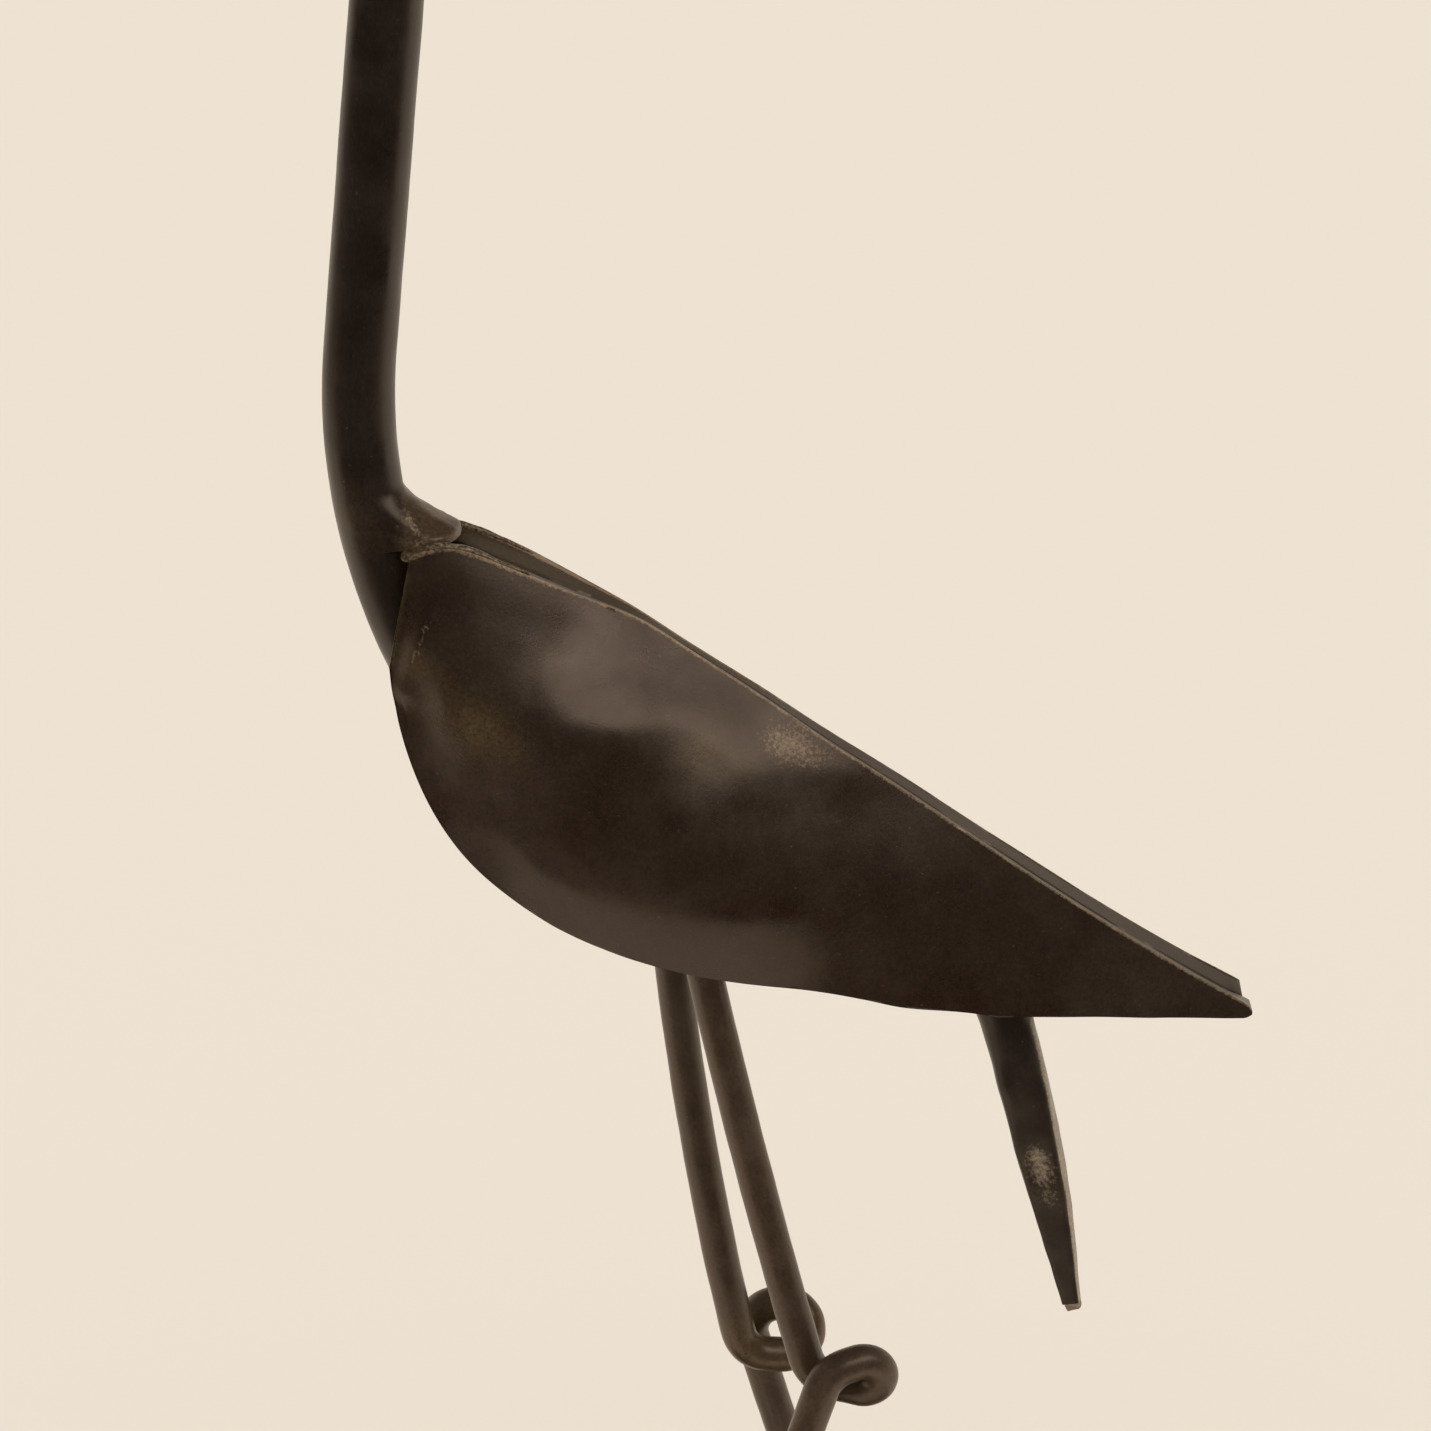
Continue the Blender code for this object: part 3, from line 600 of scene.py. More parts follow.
def top_line(t):
    """Point (x, z) on the crest of a shell, from the shoulder at 0 to the wing tip at 1."""
    z = (
        (2 * t**3 - 3 * t**2 + 1) * SHOULDER_Z
        + (t**3 - 2 * t**2 + t) * SHOULDER_SLOPE * WING_SPAN
        + (3 * t**2 - 2 * t**3) * WING_TIP_Z
        + (t**3 - t**2) * WING_TIP_SLOPE * WING_SPAN
    )
    x = SHOULDER_X + WING_SPAN * t
    dip = SHOULDER_DIP * max(0.0, 1.0 - t / SHOULDER_DIP_SHARE) ** 2
    return x, z - dip + swells(CREST_SWELLS, x) - nose_drop(t)


def crest_at(x):
    """Point (x, z) on the crest at a place along the bird, or at the crest's nearer end."""
    return top_line(min(1.0, max(0.0, (x - SHOULDER_X) / WING_SPAN)))


def nose_drop(t):
    """How far the wing tip's upper and lower corners are rounded off."""
    before_tip = (1.0 - t) * WING_SPAN
    return WING_NOSE_DROP * max(0.0, 1.0 - before_tip / WING_NOSE_LENGTH) ** 2


def bottom_line(t):
    """Point (x, z) on the lower edge of a shell, from the breast at 0 to the wing tip at 1."""
    if t <= RUMP_SHARE:
        s = t / RUMP_SHARE
        ends = (
            ((1 - s) ** 3, BREAST),
            (3 * s * (1 - s) ** 2, BREAST_HANDLE),
            (3 * s * s * (1 - s), BELLY_HANDLE),
            (s**3, RUMP),
        )
        x = sum(w * p[0] for w, p in ends)
        return x, sum(w * p[1] for w, p in ends) + swells(EDGE_SWELLS, x)
    s = (t - RUMP_SHARE) / (1.0 - RUMP_SHARE)
    tip_z = WING_TIP_Z - WING_TIP_HEIGHT
    return RUMP[0] + (WING_TIP_X - RUMP[0]) * s, RUMP[1] + (tip_z - RUMP[1]) * s + nose_drop(t)


def shell_widths(x):
    """Outer half widths at the crest and the lower edge, the dome, and the sheet's thickness."""
    return tuple(between([(row[0], row[k]) for row in SHELL_STATIONS], x) for k in (1, 2, 3, 4))


def seam_half_width(x, inside):
    """Half the slit between the shells' top edges: as wide as their inside at the weld, then closing."""
    open_share = max(0.0, (SEAM_CLOSED_X - x) / (SEAM_CLOSED_X - SHOULDER_X))
    return SEAM_GAP + max(0.0, inside - SEAM_GAP) * open_share**2


def beyond(amount, softness):
    """0 below zero and the amount itself above, with a soft corner between."""
    return softness * math.log1p(math.exp(min(40.0, amount / softness)))


def held(amount, most):
    """The amount, eased off so that it never passes the most."""
    return most * math.tanh(amount / most)


def off_corners(x, z, corners):
    """Distance from a line through corners, seen from the side."""
    place = Vector((x, 0.0, z))
    return min(abs(off_line(place, low, high)) for low, high in zip(corners, corners[1:]))


def pressed(x, z, crest_z):
    """How far the hammer has pressed the side out: swell, crease, tucked rim and flared crest."""
    off_swell = off_corners(x, z, SWELL_LINE) / SWELL_REACH
    out = SWELL_HEIGHT * math.exp(-(off_swell**2)) * ramp(-0.0610, -0.0530, x)
    crease = held(CREASE_SLOPE * beyond(between(CREASE_LINE, x) - z, 0.0006), CREASE_DEPTH)
    out -= crease * ramp(-0.0520, -0.0430, x) * ramp(0.0240, 0.0100, x)
    tuck = held(between(RIM_TUCK, x) * beyond(between(RIM_LINE, x) - z, 0.0005), RIM_DEPTH)
    out -= tuck * ramp(*RIM_END, x)
    flare = held(FLARE_SLOPE * beyond(z - crest_z + FLARE_BELOW, 0.0012), FLARE_DEPTH)
    return out + flare * ramp(-0.0590, -0.0540, x) * ramp(-0.0180, -0.0330, x)


def shell_mesh(side, shorter):
    """One shell: a sheet skinned over its sections, all its edges rounded."""
    reach = 1.0 - shorter / WING_SPAN
    outside, inside = 88, 44
    around = outside + inside + 12

    def section(t):
        top_x, top_z = top_line(t)
        low_x, low_z = bottom_line(t)

        def outer(s):
            x, z = top_x + (low_x - top_x) * s, top_z + (low_z - top_z) * s
            crest, edge, dome, _ = shell_widths(x)
            y = crest + (edge - crest) * s + dome * math.sin(math.pi * s)
            return Vector((x, y + pressed(x, z, top_z), z))

        sheet = min(shell_widths(top_x)[3], 0.45 * outer(0.0).y + 0.0009)
        line = [outer(k / outside) for k in range(outside + 1)]
        inner = []
        for k in range(inside + 1):
            s = 1.0 - k / inside
            ahead, behind = outer(min(1.0, s + 0.01)), outer(max(0.0, s - 0.01))
            run, drop = ahead.y - behind.y, behind.z - ahead.z
            length = math.hypot(run, drop)
            here = outer(s)
            inner.append(Vector((here.x, here.y - sheet * drop / length, here.z - sheet * run / length)))
        crest = line[0].y
        seam = seam_half_width(top_x, crest - sheet)
        seam_z = top_z - min(math.tan(math.radians(CREST_SLOPE)) * (crest - seam), 0.3 * (top_z - low_z))
        edge_height = min(sheet, 0.4 * (seam_z - low_z))
        inner[-1] = Vector((top_x, max(seam + FIT_GAP, crest - sheet), seam_z - edge_height))
        lower = [line[-1].lerp(inner[0], k / 4.0) for k in (1, 2, 3)]
        upper = [Vector((top_x, seam, seam_z - edge_height))]
        upper += [Vector((top_x, seam, seam_z)).lerp(line[0], k / 6.0) for k in range(6)]
        return line + lower + inner + upper

    cache = {}

    def point_at(t, turn):
        if t not in cache:
            cache[t] = section(t)
        point = cache[t][round(turn * around) % around]
        return Vector((point.x, side * point.y, point.z))

    steps, tip_steps = 205, 9
    tip = WING_NOSE_LENGTH / WING_SPAN
    stations = [(reach - tip) * i / steps for i in range(steps)]
    stations += [reach - tip + tip * i / tip_steps for i in range(tip_steps + 1)]
    work = wrapped(around, stations, point_at)
    sharp = [e for e in work.edges if e.is_manifold and e.calc_face_angle() > math.radians(38.0)]
    rounded(work, sharp, 0.00032, 2)
    return work


def crest_distance(place):
    """How far a point lies from the outer corner of its shell's top edge."""
    x, z = crest_at(place.x)
    return math.hypot(abs(place.y) - shell_widths(x)[0], z - place.z)


def shell_relief(side):
    """Fine hammering of a shell: the fold behind its front edge, soft hollows and a wavy lower edge."""
    def relief(place, normal):
        outward = max(0.0, side * normal.y)
        move = 0.00016 * lumps(place, 0.017, side) + 0.00007 * lumps(place, 0.0075, 3.0 + side)
        move += 0.00003 * lumps(place, 0.0034, 6.0)
        hammered = ramp(0.0100, 0.0250, place.x) * ramp(0.1880, 0.1720, place.z)
        move += 0.00030 * hammered * lumps(Vector((place.x, 0.0, 0.3 * place.z)), 0.0085, 21.0 + side)
        move += swells(FOLD_SWELLS, off_line(place, *FOLD_LINE))
        return move * (0.15 + 0.85 * outward)
    return relief


def shell_bare_and_sheen(place, normal):
    """Bare metal colour on the outer corner of the top edge, partly rubbed and partly a painted highlight; a
    painted highlight streak in front and a painted highlight patch on the side.
    """
    reach = between(CREST_BARE_AND_SHEEN_REACH, place.x)
    corner = between(CREST_BARE_AND_SHEEN, place.x) * ramp(reach, 0.25 * reach, crest_distance(place))
    if abs(normal.y) < 0.5:
        return corner
    return max(corner, 0.40 * streak(place, FRONT_PAINTED_HIGHLIGHT, 0.0007, 0.0002), spots(place, PAINTED_HIGHLIGHT_PATCH))


def shell_bronze_and_sheen(place, normal):
    """Olive brown: the sloping top faces, partly own tone and partly painted light; a painted highlight on
    the front edge's rim; and soft spots on the sides, partly olive and partly painted highlights.
    """
    x, z = crest_at(place.x)
    on_top = ramp(0.0002, 0.0010, shell_widths(x)[0] - abs(place.y)) * ramp(0.0032, 0.0022, z - place.z)
    if on_top > 0.0:
        return on_top * between(CREST_OLIVE_AND_SHEEN, place.x)
    return 0.7 * streak(place, FRONT_RIM_HIGHLIGHT, 0.0010, 0.0002) + spots(place, OLIVE_HIGHLIGHT_SPOTS)


# Legs

def leg_mesh(side, hip_x, hip, thigh, shin, knee_z, under, eye, over):
    """A rod with a full loop for its knee."""
    hip_angle = math.radians(hip)
    start = (hip_x - LEG_TOP_INSIDE * math.sin(hip_angle), HIP_Z + LEG_TOP_INSIDE * math.cos(hip_angle))
    steps = [
        straight(LEG_TOP_INSIDE),
        ((HIP_Z - knee_z) / math.cos(math.radians((hip + thigh) / 2.0)), thigh - hip),
        bend(KNEE_EASE_RADIUS, under[1] - thigh),
        straight(under[0]),
        bend(eye, over[1] - under[1]),
        straight(over[0]),
        bend(KNEE_EASE_RADIUS, 360.0 + shin - over[1]),
    ]
    knee_start = steps[0][0] + steps[1][0]
    knee_end = sum(length for length, _ in steps)
    knee_end_z = path_point(start, hip, steps, knee_end)[1]
    ground = BASE_THICKNESS + FIT_GAP + HUB_HEIGHT + FIT_GAP
    ankle_drop = ANKLE_STRAIGHT + ANKLE_BEND_RADIUS * abs(math.sin(math.radians(shin)))
    steps += [
        straight((knee_end_z - ground - ankle_drop) / math.cos(math.radians(shin))),
        bend(ANKLE_BEND_RADIUS, -shin),
        straight(ANKLE_STRAIGHT),
    ]
    total = sum(length for length, _ in steps)
    sideways_places = [
        (0.0, HIP_Y),
        (knee_start, THIGH_Y),
        (knee_end, THIGH_Y + KNEE_PITCH),
        (total, ANKLE_Y),
    ]

    def centre(distance):
        x, z, _ = path_point(start, hip, steps, distance)
        return Vector((x, side * between(sideways_places, distance), z))

    cache = {}

    def ring_frame(distance):
        if distance not in cache:
            nearby = 0.0004
            along = centre(min(total, distance + nearby)) - centre(max(0.0, distance - nearby))
            along.normalize()
            sideways = (Vector((0.0, 1.0, 0.0)) - along * along.y).normalized()
            cache[distance] = (centre(distance), sideways, along.cross(sideways))
        return cache[distance]

    def point_at(distance, turn):
        middle, sideways, across = ring_frame(distance)
        angle = 2.0 * math.pi * turn
        return middle + (sideways * math.cos(angle) + across * math.sin(angle)) * ROD_RADIUS

    stations = [0.0]
    for length, turned in steps:
        count = max(2, math.ceil(length / 0.0011), math.ceil(abs(turned) / 5.0))
        begin = stations[-1]
        stations += [begin + length * (i + 1) / count for i in range(count)]
    return wrapped(30, stations, point_at)


def leg_relief(place, normal):
    """A rod's faint unevenness, a little stronger at the knee where it was bent hot."""
    knee = ramp(0.026, 0.010, abs(place.z - 0.104))
    return (0.00006 + 0.00005 * knee) * lumps(place, 0.0070, 11.0) + 0.00003 * lumps(place, 0.0024, 12.0)


def leg_bronze(place, normal):
    """Warm brown where the knee was heated, most of all under the right one."""
    strength = 0.55 if place.y > 0.0 else 0.15
    return strength * ramp(0.012, 0.003, abs(place.z - 0.1015))


# Feet

def foot_mesh(ankle_x, ankle_y):
    """Four toes drawn out from one hub, run together as a forge weld would."""
    floor = BASE_THICKNESS + FIT_GAP
    parts = bmesh.new()
    toes = (
        (180.0 - TOE_SPREAD, FRONT_TOE_LENGTH),
        (180.0, FRONT_TOE_LENGTH),
        (180.0 + TOE_SPREAD, FRONT_TOE_LENGTH),
        (0.0, BACK_TOE_LENGTH),
    )
    for heading, length in toes:
        outward = Vector((math.cos(math.radians(heading)), math.sin(math.radians(heading)), 0.0))
        sideways = Vector((-outward.y, outward.x, 0.0))

        def toe_point(distance, turn):
            share = distance / length
            half = TOE_ROOT[0] + (TOE_TIP[0] - TOE_ROOT[0]) * share
            height = TOE_ROOT[1] + (TOE_TIP[1] - TOE_ROOT[1]) * share ** 0.8
            c, s = math.cos(2.0 * math.pi * turn), math.sin(2.0 * math.pi * turn)
            wide = math.copysign(abs(c) ** 0.7, c) * half
            tall = math.copysign(abs(s) ** 0.8, s) * height / 2.0 + height / 2.0
            along = Vector((ankle_x, ankle_y, floor)) + outward * distance
            return along + sideways * wide + Vector((0.0, 0.0, tall))

        add_to(parts, wrapped(20, [length * i / 24.0 for i in range(25)], toe_point))

    def hub_point(height, turn):
        radius = HUB_RADIUS[0] + (HUB_RADIUS[1] - HUB_RADIUS[0]) * ramp(0.0, HUB_HEIGHT, height)
        angle = 2.0 * math.pi * turn
        return Vector((
            ankle_x + radius * math.cos(angle),
            ankle_y + radius * math.sin(angle),
            floor + height,
        ))

    add_to(parts, wrapped(32, [HUB_HEIGHT * i / 8.0 for i in range(9)], hub_point))
    return fused(parts, 0.00038)


def add_to(whole, part):
    """Moves one bmesh's shape into another."""
    passing = bpy.data.meshes.new("passing")
    part.to_mesh(passing)
    part.free()
    whole.from_mesh(passing)
    bpy.data.meshes.remove(passing)


def fused(work, grain):
    """Overlapping shapes run into one skin, with the joins softened."""
    mesh = bpy.data.meshes.new("fusing")
    work.to_mesh(mesh)
    work.free()
    helper = bpy.data.objects.new("fusing", mesh)
    bpy.context.scene.collection.objects.link(helper)
    remesh = helper.modifiers.new("fuse", "REMESH")
    remesh.mode = "VOXEL"
    remesh.voxel_size = grain
    smooth = helper.modifiers.new("soften", "SMOOTH")
    smooth.factor = 0.5
    smooth.iterations = 4
    bpy.context.view_layer.update()
    result = bmesh.new()
    result.from_object(helper, bpy.context.evaluated_depsgraph_get())
    bpy.data.objects.remove(helper, do_unlink=True)
    bpy.data.meshes.remove(mesh)
    return result


def foot_relief(place, normal):
    """Hammer marks on the toes, none on the flat underside."""
    above = ramp(0.0066, 0.0074, place.z)
    return above * (0.00008 * lumps(place, 0.0040, 14.0) + 0.00006 * (dents(place, 0.0045, 2.0) - 0.5))


def foot_wear(place, normal):
    """Rubbed metal on top of the toes and the hub."""
    return 0.35 * ramp(0.0085, 0.0105, place.z)


def foot_bronze(place, normal):
    """The feet are a little olive all over."""
    return 0.2


# Base plate

PLATE_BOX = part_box("base_plate")


def plate_mesh():
    """The plate, cut into fine faces so that its top can show the hammer."""
    low, high = PLATE_BOX
    middle, size = (low + high) / 2.0, high - low
    work = bmesh.new()
    bmesh.ops.create_cube(work, size=1.0)
    bmesh.ops.scale(work, vec=size, verts=work.verts)
    bmesh.ops.translate(work, vec=middle, verts=work.verts)
    corners = [e for e in work.edges if abs(e.verts[0].co.z - e.verts[1].co.z) > 0.5 * size.z]
    rounded(work, corners, 0.005, 6)
    rims = [e for e in work.edges if abs(e.verts[0].co.z - e.verts[1].co.z) < 1e-6]
    rounded(work, rims, 0.0008, 3)
    spacing = 0.0018
    for axis, normal in ((0, Vector((1.0, 0.0, 0.0))), (1, Vector((0.0, 1.0, 0.0)))):
        count = int(size[axis] / spacing)
        for i in range(1, count):
            at = middle.copy()
            at[axis] = low[axis] + size[axis] * i / count
            everything = list(work.verts) + list(work.edges) + list(work.faces)
            bmesh.ops.bisect_plane(work, geom=everything, plane_co=at, plane_no=normal, dist=1e-6)
    return work


def plate_relief(place, normal):
    """Shallow hammer facets on the top and the sides, none underneath."""
    move = 0.00016 * (dents(place, 0.0110, 4.0) - 0.6) + 0.00010 * lumps(place, 0.0200, 15.0) - 0.00008
    return ramp(0.0002, 0.0020, place.z) * move


def plate_wear(place, normal):
    """Rubbed metal along the plate's upper rim."""
    low, high = PLATE_BOX
    inside = min(high.x - place.x, place.x - low.x, high.y - place.y, place.y - low.y)
    return 0.45 * ramp(0.0024, 0.0006, inside) * ramp(0.0040, 0.0056, place.z)


# Materials

def add_node(tree, kind, inputs=None, **settings):
    """A node with its settings, and its inputs: a socket given for one is linked, and a value is set."""
    node = tree.nodes.new(kind)
    for key, value in settings.items():
        setattr(node, key, value)
    for key, value in (inputs or {}).items():
        if isinstance(value, bpy.types.NodeSocket):
            tree.links.new(value, node.inputs[key])
        else:
            node.inputs[key].default_value = value
    return node


def patina_group():
    """Old waxed iron: mottled brown and black, bare where rubbed, with fine pits and scratches; its bare and
    olive colours also paint highlights and a reflection where the marks call for them.
    """
    group = bpy.data.node_groups.new("iron_patina", "ShaderNodeTree")
    for name, way, kind in (
        ("Place", "INPUT", "NodeSocketVector"),
        ("Dark", "INPUT", "NodeSocketColor"),
        ("Brown", "INPUT", "NodeSocketColor"),
        ("Bronze", "INPUT", "NodeSocketColor"),
        ("Bare And Sheen Colour", "INPUT", "NodeSocketColor"),
        ("Bare And Sheen", "INPUT", "NodeSocketFloat"),
        ("Bronzed And Sheen", "INPUT", "NodeSocketFloat"),
        ("Mottle Size", "INPUT", "NodeSocketFloat"),
        ("Bronze Amount", "INPUT", "NodeSocketFloat"),
        ("Roughness", "INPUT", "NodeSocketFloat"),
        ("Grain", "INPUT", "NodeSocketFloat"),
        ("Color", "OUTPUT", "NodeSocketColor"),
        ("Roughness", "OUTPUT", "NodeSocketFloat"),
        ("Height", "OUTPUT", "NodeSocketFloat"),
    ):
        group.interface.new_socket(name=name, in_out=way, socket_type=kind)
    given = group.nodes.new("NodeGroupInput").outputs
    told = group.nodes.new("NodeGroupOutput").inputs

    def cloud(scale, detail, roughness, place=given["Place"]):
        inputs = {"Vector": place, "Scale": scale, "Detail": detail, "Roughness": roughness}
        return add_node(group, "ShaderNodeTexNoise", inputs).outputs["Fac"]

    def spread(value, low, high, to_low=0.0, to_high=1.0):
        inputs = {"Value": value, "From Min": low, "From Max": high, "To Min": to_low, "To Max": to_high}
        return add_node(group, "ShaderNodeMapRange", inputs).outputs["Result"]

    def sum_of(first, second, clamped=False):
        inputs = {0: first, 1: second}
        return add_node(group, "ShaderNodeMath", inputs, operation="ADD", use_clamp=clamped).outputs["Value"]

    def product(first, second):
        inputs = {0: first, 1: second}
        return add_node(group, "ShaderNodeMath", inputs, operation="MULTIPLY").outputs["Value"]

    def blend(share, first, second, way="MIX"):
        inputs = {"Factor": share, 6: first, 7: second}
        return add_node(group, "ShaderNodeMix", inputs, data_type="RGBA", blend_type=way).outputs[2]

    mottle = cloud(given["Mottle Size"], 5.0, 0.62)
    fine = cloud(1700.0, 4.0, 0.7)

    ground = blend(spread(mottle, 0.34, 0.68), given["Dark"], given["Brown"])
    patches = product(spread(cloud(38.0, 3.0, 0.55), 0.56, 0.74), given["Bronze Amount"])
    # Olive tone where the marks call for it: real olive stains, and painted highlights on the shells.
    stains_and_sheen = product(spread(fine, 0.35, 0.65, 0.7, 1.2), given["Bronzed And Sheen"])
    toned = blend(sum_of(patches, stains_and_sheen, clamped=True), ground, given["Bronze"])
    speckled = blend(1.0, toned, spread(fine, 0.3, 0.7, 0.72, 1.28), "MULTIPLY")
    broken_up = product(sum_of(fine, -0.5), 1.3)
    # Bare metal colour where rubbed, and painted highlights and a painted reflection where the marks call
    # for them.
    bared_and_sheened = blend(spread(sum_of(broken_up, given["Bare And Sheen"]), 0.30, 0.80), speckled, given["Bare And Sheen Colour"])
    specks = spread(cloud(1500.0, 2.0, 0.5), 0.70, 0.80, 0.0, 0.22)
    group.links.new(blend(specks, bared_and_sheened, given["Bare And Sheen Colour"]), told["Color"])

    uneven = sum_of(spread(mottle, 0.3, 0.7, -0.07, 0.09), given["Roughness"], clamped=True)
    grainy = sum_of(product(fine, 0.10), -0.05)
    group.links.new(sum_of(uneven, grainy, clamped=True), told["Roughness"])

    lengthwise = {"Vector": given["Place"], "Scale": (1.0, 6.0, 4.0), "Rotation": (0.0, 0.6, 0.0)}
    drawn_out = add_node(group, "ShaderNodeMapping", lengthwise).outputs["Vector"]
    scratches = spread(cloud(260.0, 3.0, 0.6, drawn_out), 0.62, 0.74, 0.0, -0.35)
    group.links.new(sum_of(product(fine, given["Grain"]), scratches), told["Height"])
    return group


PATINA = patina_group()


def iron(name, dark, brown, bronze_and_sheen, bare_and_sheen_colour, mottle, bronze_amount, roughness, grain):
    """One iron finish, from the shared patina with its own colours."""
    material = bpy.data.materials.new(name)
    material.use_nodes = True
    tree = material.node_tree
    shader = tree.nodes["Principled BSDF"]
    shader.inputs["Metallic"].default_value = 0.15
    shader.inputs["Specular IOR Level"].default_value = 0.85
    shader.inputs["Specular Tint"].default_value = (1.0, 0.88, 0.76, 1.0)
    inputs = {
        "Place": add_node(tree, "ShaderNodeTexCoord").outputs["Object"],
        "Dark": (*dark, 1.0),
        "Brown": (*brown, 1.0),
        "Bronze": (*bronze_and_sheen, 1.0),
        "Bare And Sheen Colour": (*bare_and_sheen_colour, 1.0),
        "Bare And Sheen": add_node(tree, "ShaderNodeAttribute", attribute_name="bare_and_sheen").outputs["Fac"],
        "Bronzed And Sheen": add_node(tree, "ShaderNodeAttribute", attribute_name="bronzed_and_sheen").outputs["Fac"],
        "Mottle Size": mottle,
        "Bronze Amount": bronze_amount,
        "Roughness": roughness,
        "Grain": grain,
    }
    patina = add_node(tree, "ShaderNodeGroup", inputs, node_tree=PATINA).outputs
    pits = {"Height": patina["Height"], "Strength": 0.35, "Distance": 0.00006}
    bump = add_node(tree, "ShaderNodeBump", pits)
    tree.links.new(patina["Color"], shader.inputs["Base Color"])
    tree.links.new(patina["Roughness"], shader.inputs["Roughness"])
    tree.links.new(bump.outputs["Normal"], shader.inputs["Normal"])
    return material


# The bare and olive colours below also paint highlights, and the tail's reflection, where the marks call for
# them.
SHEET_IRON = iron(
    "sheet_iron", dark=(0.022, 0.0100, 0.0052), brown=(0.034, 0.0180, 0.0100), bronze_and_sheen=(0.074, 0.049, 0.022),
    bare_and_sheen_colour=(0.25, 0.175, 0.105), mottle=70.0, bronze_amount=0.12, roughness=0.31, grain=1.0,
)
BAR_IRON = iron(
    "bar_iron", dark=(0.012, 0.0058, 0.0034), brown=(0.020, 0.0108, 0.0064), bronze_and_sheen=(0.074, 0.047, 0.022),
    bare_and_sheen_colour=(0.30, 0.24, 0.165), mottle=110.0, bronze_amount=0.10, roughness=0.34, grain=1.0,
)
ROD_IRON = iron(
    "rod_iron", dark=(0.038, 0.0215, 0.0120), brown=(0.062, 0.0390, 0.0220), bronze_and_sheen=(0.090, 0.056, 0.022),
    bare_and_sheen_colour=(0.24, 0.17, 0.10), mottle=120.0, bronze_amount=0.20, roughness=0.34, grain=1.0,
)
PLATE_IRON = iron(
    "plate_iron", dark=(0.015, 0.0090, 0.0060), brown=(0.030, 0.0190, 0.0120), bronze_and_sheen=(0.055, 0.038, 0.022),
    bare_and_sheen_colour=(0.16, 0.12, 0.085), mottle=60.0, bronze_amount=0.3, roughness=0.46, grain=1.2,
)


# Pieces

finished(
    bar_mesh(), "forged_bar", BAR_IRON, "dark_bar", bar_relief, bar_bare_and_sheen, bar_bronze, "neck_and_tail_bar",
)
finished(weld_bead_mesh(), "weld_bead", BAR_IRON, "dark_bar", nothing, bead_painted_highlight, bead_bronze)

for node, side, shorter in (("left_wing_shell", -1.0, 0.0), ("right_wing_shell", 1.0, FAR_WING_SHORTER)):
    shell, name = shell_mesh(side, shorter), node.replace("shell", "sheet")
    finished(shell, name, SHEET_IRON, "body_sheet", shell_relief(side), shell_bare_and_sheen, shell_bronze_and_sheen, node)

for node, values in (("left_leg", LEFT_LEG), ("right_leg", RIGHT_LEG)):
    finished(leg_mesh(**values), node + "_rod", ROD_IRON, "leg_rod", leg_relief, nothing, leg_bronze, node)

for node, side in (("left_foot", -1.0), ("right_foot", 1.0)):
    foot = foot_mesh(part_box(node)[0].x + FRONT_TOE_LENGTH, side * ANKLE_Y)
    finished(foot, node + "_toes", ROD_IRON, "foot_iron", foot_relief, foot_wear, foot_bronze, node)

finished(
    plate_mesh(), "hammered_plate", PLATE_IRON, "base_iron", plate_relief, plate_wear, nothing, "base_plate",
)


# Stage, light and camera

def pale_cloth():
    """The cloth that the bird stands on and in front of."""
    material = bpy.data.materials.new("pale_cloth")
    material.use_nodes = True
    shader = material.node_tree.nodes["Principled BSDF"]
    shader.inputs["Base Color"].default_value = FLOOR_COLOUR
    shader.inputs["Roughness"].default_value = 0.9
    shader.inputs["Specular IOR Level"].default_value = 0.0
    return material


def floor_part(name, left, right, near, far, material):
    """A rectangle of the floor between two places along the bird and two distances behind it."""
    work = bmesh.new()
    bmesh.ops.create_grid(work, x_segments=1, y_segments=1, size=0.5)
    bmesh.ops.scale(work, vec=(right - left, far - near, 1.0), verts=work.verts)
    bmesh.ops.translate(work, vec=((left + right) / 2.0, (near + far) / 2.0, 0.0), verts=work.verts)
    mesh = bpy.data.meshes.new(name)
    work.to_mesh(mesh)
    work.free()
    mesh.materials.append(material)
    part = bpy.data.objects.new(name, mesh)
    bpy.context.scene.collection.objects.link(part)
    return part


def soft_light(name, aim, rise, turn, distance, width, height, radiance, colour):
    """A rectangular light that only gloss sees, up from the floor and to the right of the camera."""
    data = bpy.data.lights.new(name, "AREA")
    data.shape = "RECTANGLE"
    data.size = width
    data.size_y = height
    data.energy = radiance * math.pi * width * height
    data.color = colour
    lamp = bpy.data.objects.new(name, data)
    rise, turn = math.radians(rise), math.radians(turn)
    toward = Vector((math.sin(turn) * math.cos(rise), -math.cos(turn) * math.cos(rise), math.sin(rise)))
    lamp.location = Vector(aim) + toward * distance
    lamp.rotation_euler = (-toward).to_track_quat("-Z", "Y").to_euler()
    lamp.visible_diffuse = False
    bpy.context.scene.collection.objects.link(lamp)


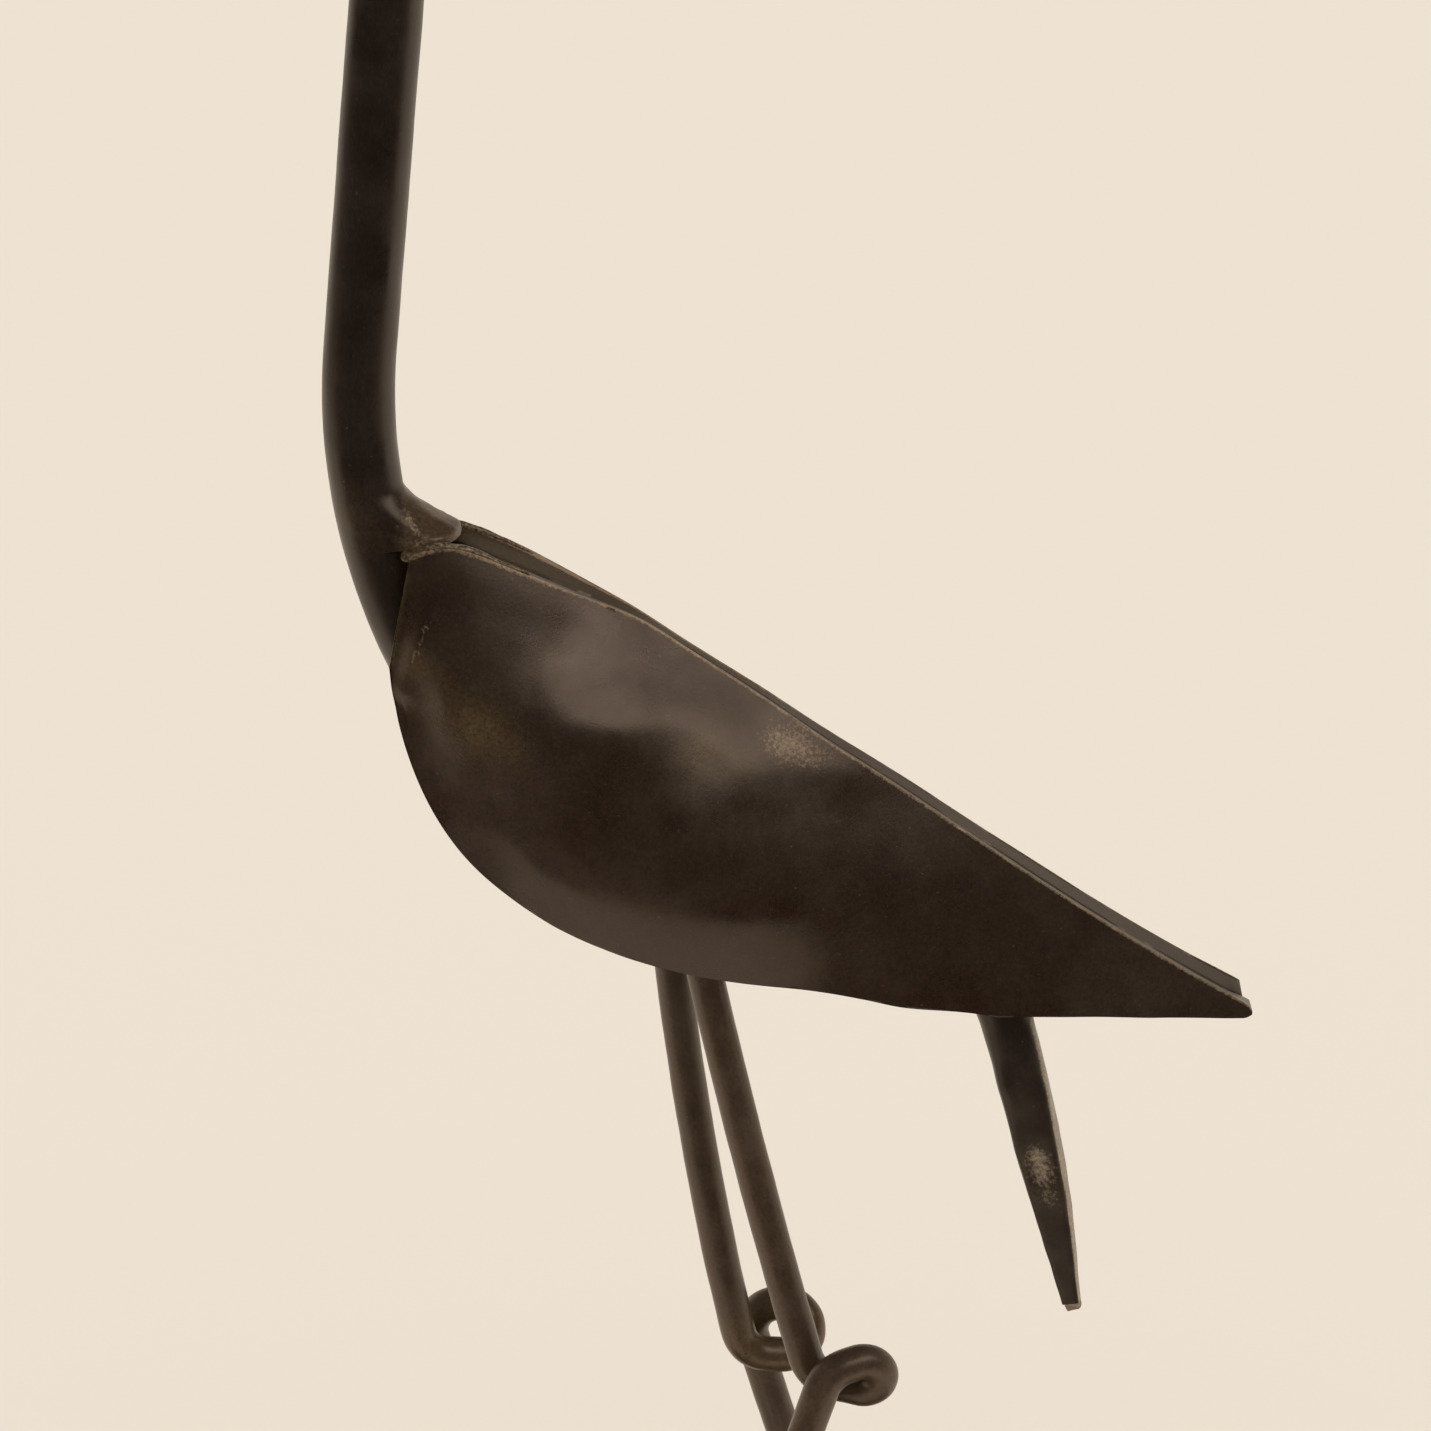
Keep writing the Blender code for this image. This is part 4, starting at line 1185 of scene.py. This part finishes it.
def room_light():
    """Even light on everything, with a dark room in front and pale cloth behind for the iron to mirror."""
    world = bpy.data.worlds.new("room")
    bpy.context.scene.world = world
    world.use_nodes = True
    tree = world.node_tree
    even = tree.nodes["Background"]
    even.inputs["Color"].default_value = ROOM_COLOUR
    even.inputs["Strength"].default_value = ROOM_STRENGTH

    way = add_node(tree, "ShaderNodeTexCoord").outputs["Generated"]
    turn = (0.0, 0.0, math.radians(CLOTH_TURN))
    turned = add_node(tree, "ShaderNodeMapping", {"Vector": way, "Rotation": turn}).outputs["Vector"]
    parts = add_node(tree, "ShaderNodeSeparateXYZ", {"Vector": turned}).outputs
    behind = add_node(tree, "ShaderNodeMapRange", {"Value": parts["Y"], "From Min": 0.0, "From Max": 0.50})
    low = add_node(tree, "ShaderNodeMapRange", {"Value": parts["Z"], "From Min": 0.60, "From Max": 0.25})
    shares = {0: behind.outputs["Result"], 1: low.outputs["Result"]}
    cloth = add_node(tree, "ShaderNodeMath", shares, operation="MULTIPLY").outputs["Value"]
    tones = {"Factor": cloth, 6: MIRRORED_ROOM, 7: MIRRORED_CLOTH}
    tone = add_node(tree, "ShaderNodeMix", tones, data_type="RGBA").outputs[2]

    mirrored = add_node(tree, "ShaderNodeBackground", {"Color": tone})
    seen = add_node(tree, "ShaderNodeBackground", {"Color": BACKDROP})
    rays = add_node(tree, "ShaderNodeLightPath").outputs
    glossy = {"Fac": rays["Is Glossy Ray"], 1: even.outputs["Background"], 2: mirrored.outputs["Background"]}
    by_gloss = add_node(tree, "ShaderNodeMixShader", glossy).outputs["Shader"]
    direct = {"Fac": rays["Is Camera Ray"], 1: by_gloss, 2: seen.outputs["Background"]}
    by_eye = add_node(tree, "ShaderNodeMixShader", direct).outputs["Shader"]
    tree.links.new(by_eye, tree.nodes["World Output"].inputs["Surface"])


CLOTH = pale_cloth()
floor_part("floor", CLOTH_LEFT, FLOOR_REACH, CLOTH_FRONT, FLOOR_REACH, CLOTH)
in_front = floor_part("floor_in_front", -FLOOR_REACH, FLOOR_REACH, -FLOOR_REACH, CLOTH_FRONT, CLOTH)
in_front.visible_glossy = False
at_left = floor_part("floor_at_left", -FLOOR_REACH, CLOTH_LEFT, CLOTH_FRONT, FLOOR_REACH, CLOTH)
at_left.visible_glossy = False
soft_light(
    "window", aim=(0.0, 0.0, 0.20), rise=38.0, turn=41.0, distance=1.3, width=1.15, height=0.42,
    radiance=2.5, colour=(1.0, 0.89, 0.79),
)
room_light()
bpy.context.scene.view_settings.view_transform = "Standard"

camera_data = bpy.data.cameras.new("camera")
camera_data.sensor_width = 36.0
camera_data.lens = 36.0 * CAMERA_DISTANCE * PIXELS_PER_METRE / PHOTO_SIDE
camera_data.clip_start = 0.01
camera = bpy.data.objects.new("camera", camera_data)
down = math.radians(CAMERA_DOWN)
camera.location = CAMERA_TARGET + Vector((0.0, -math.cos(down), math.sin(down))) * CAMERA_DISTANCE
camera.rotation_euler = (math.radians(90.0 - CAMERA_DOWN), 0.0, 0.0)
bpy.context.scene.collection.objects.link(camera)
bpy.context.scene.camera = camera
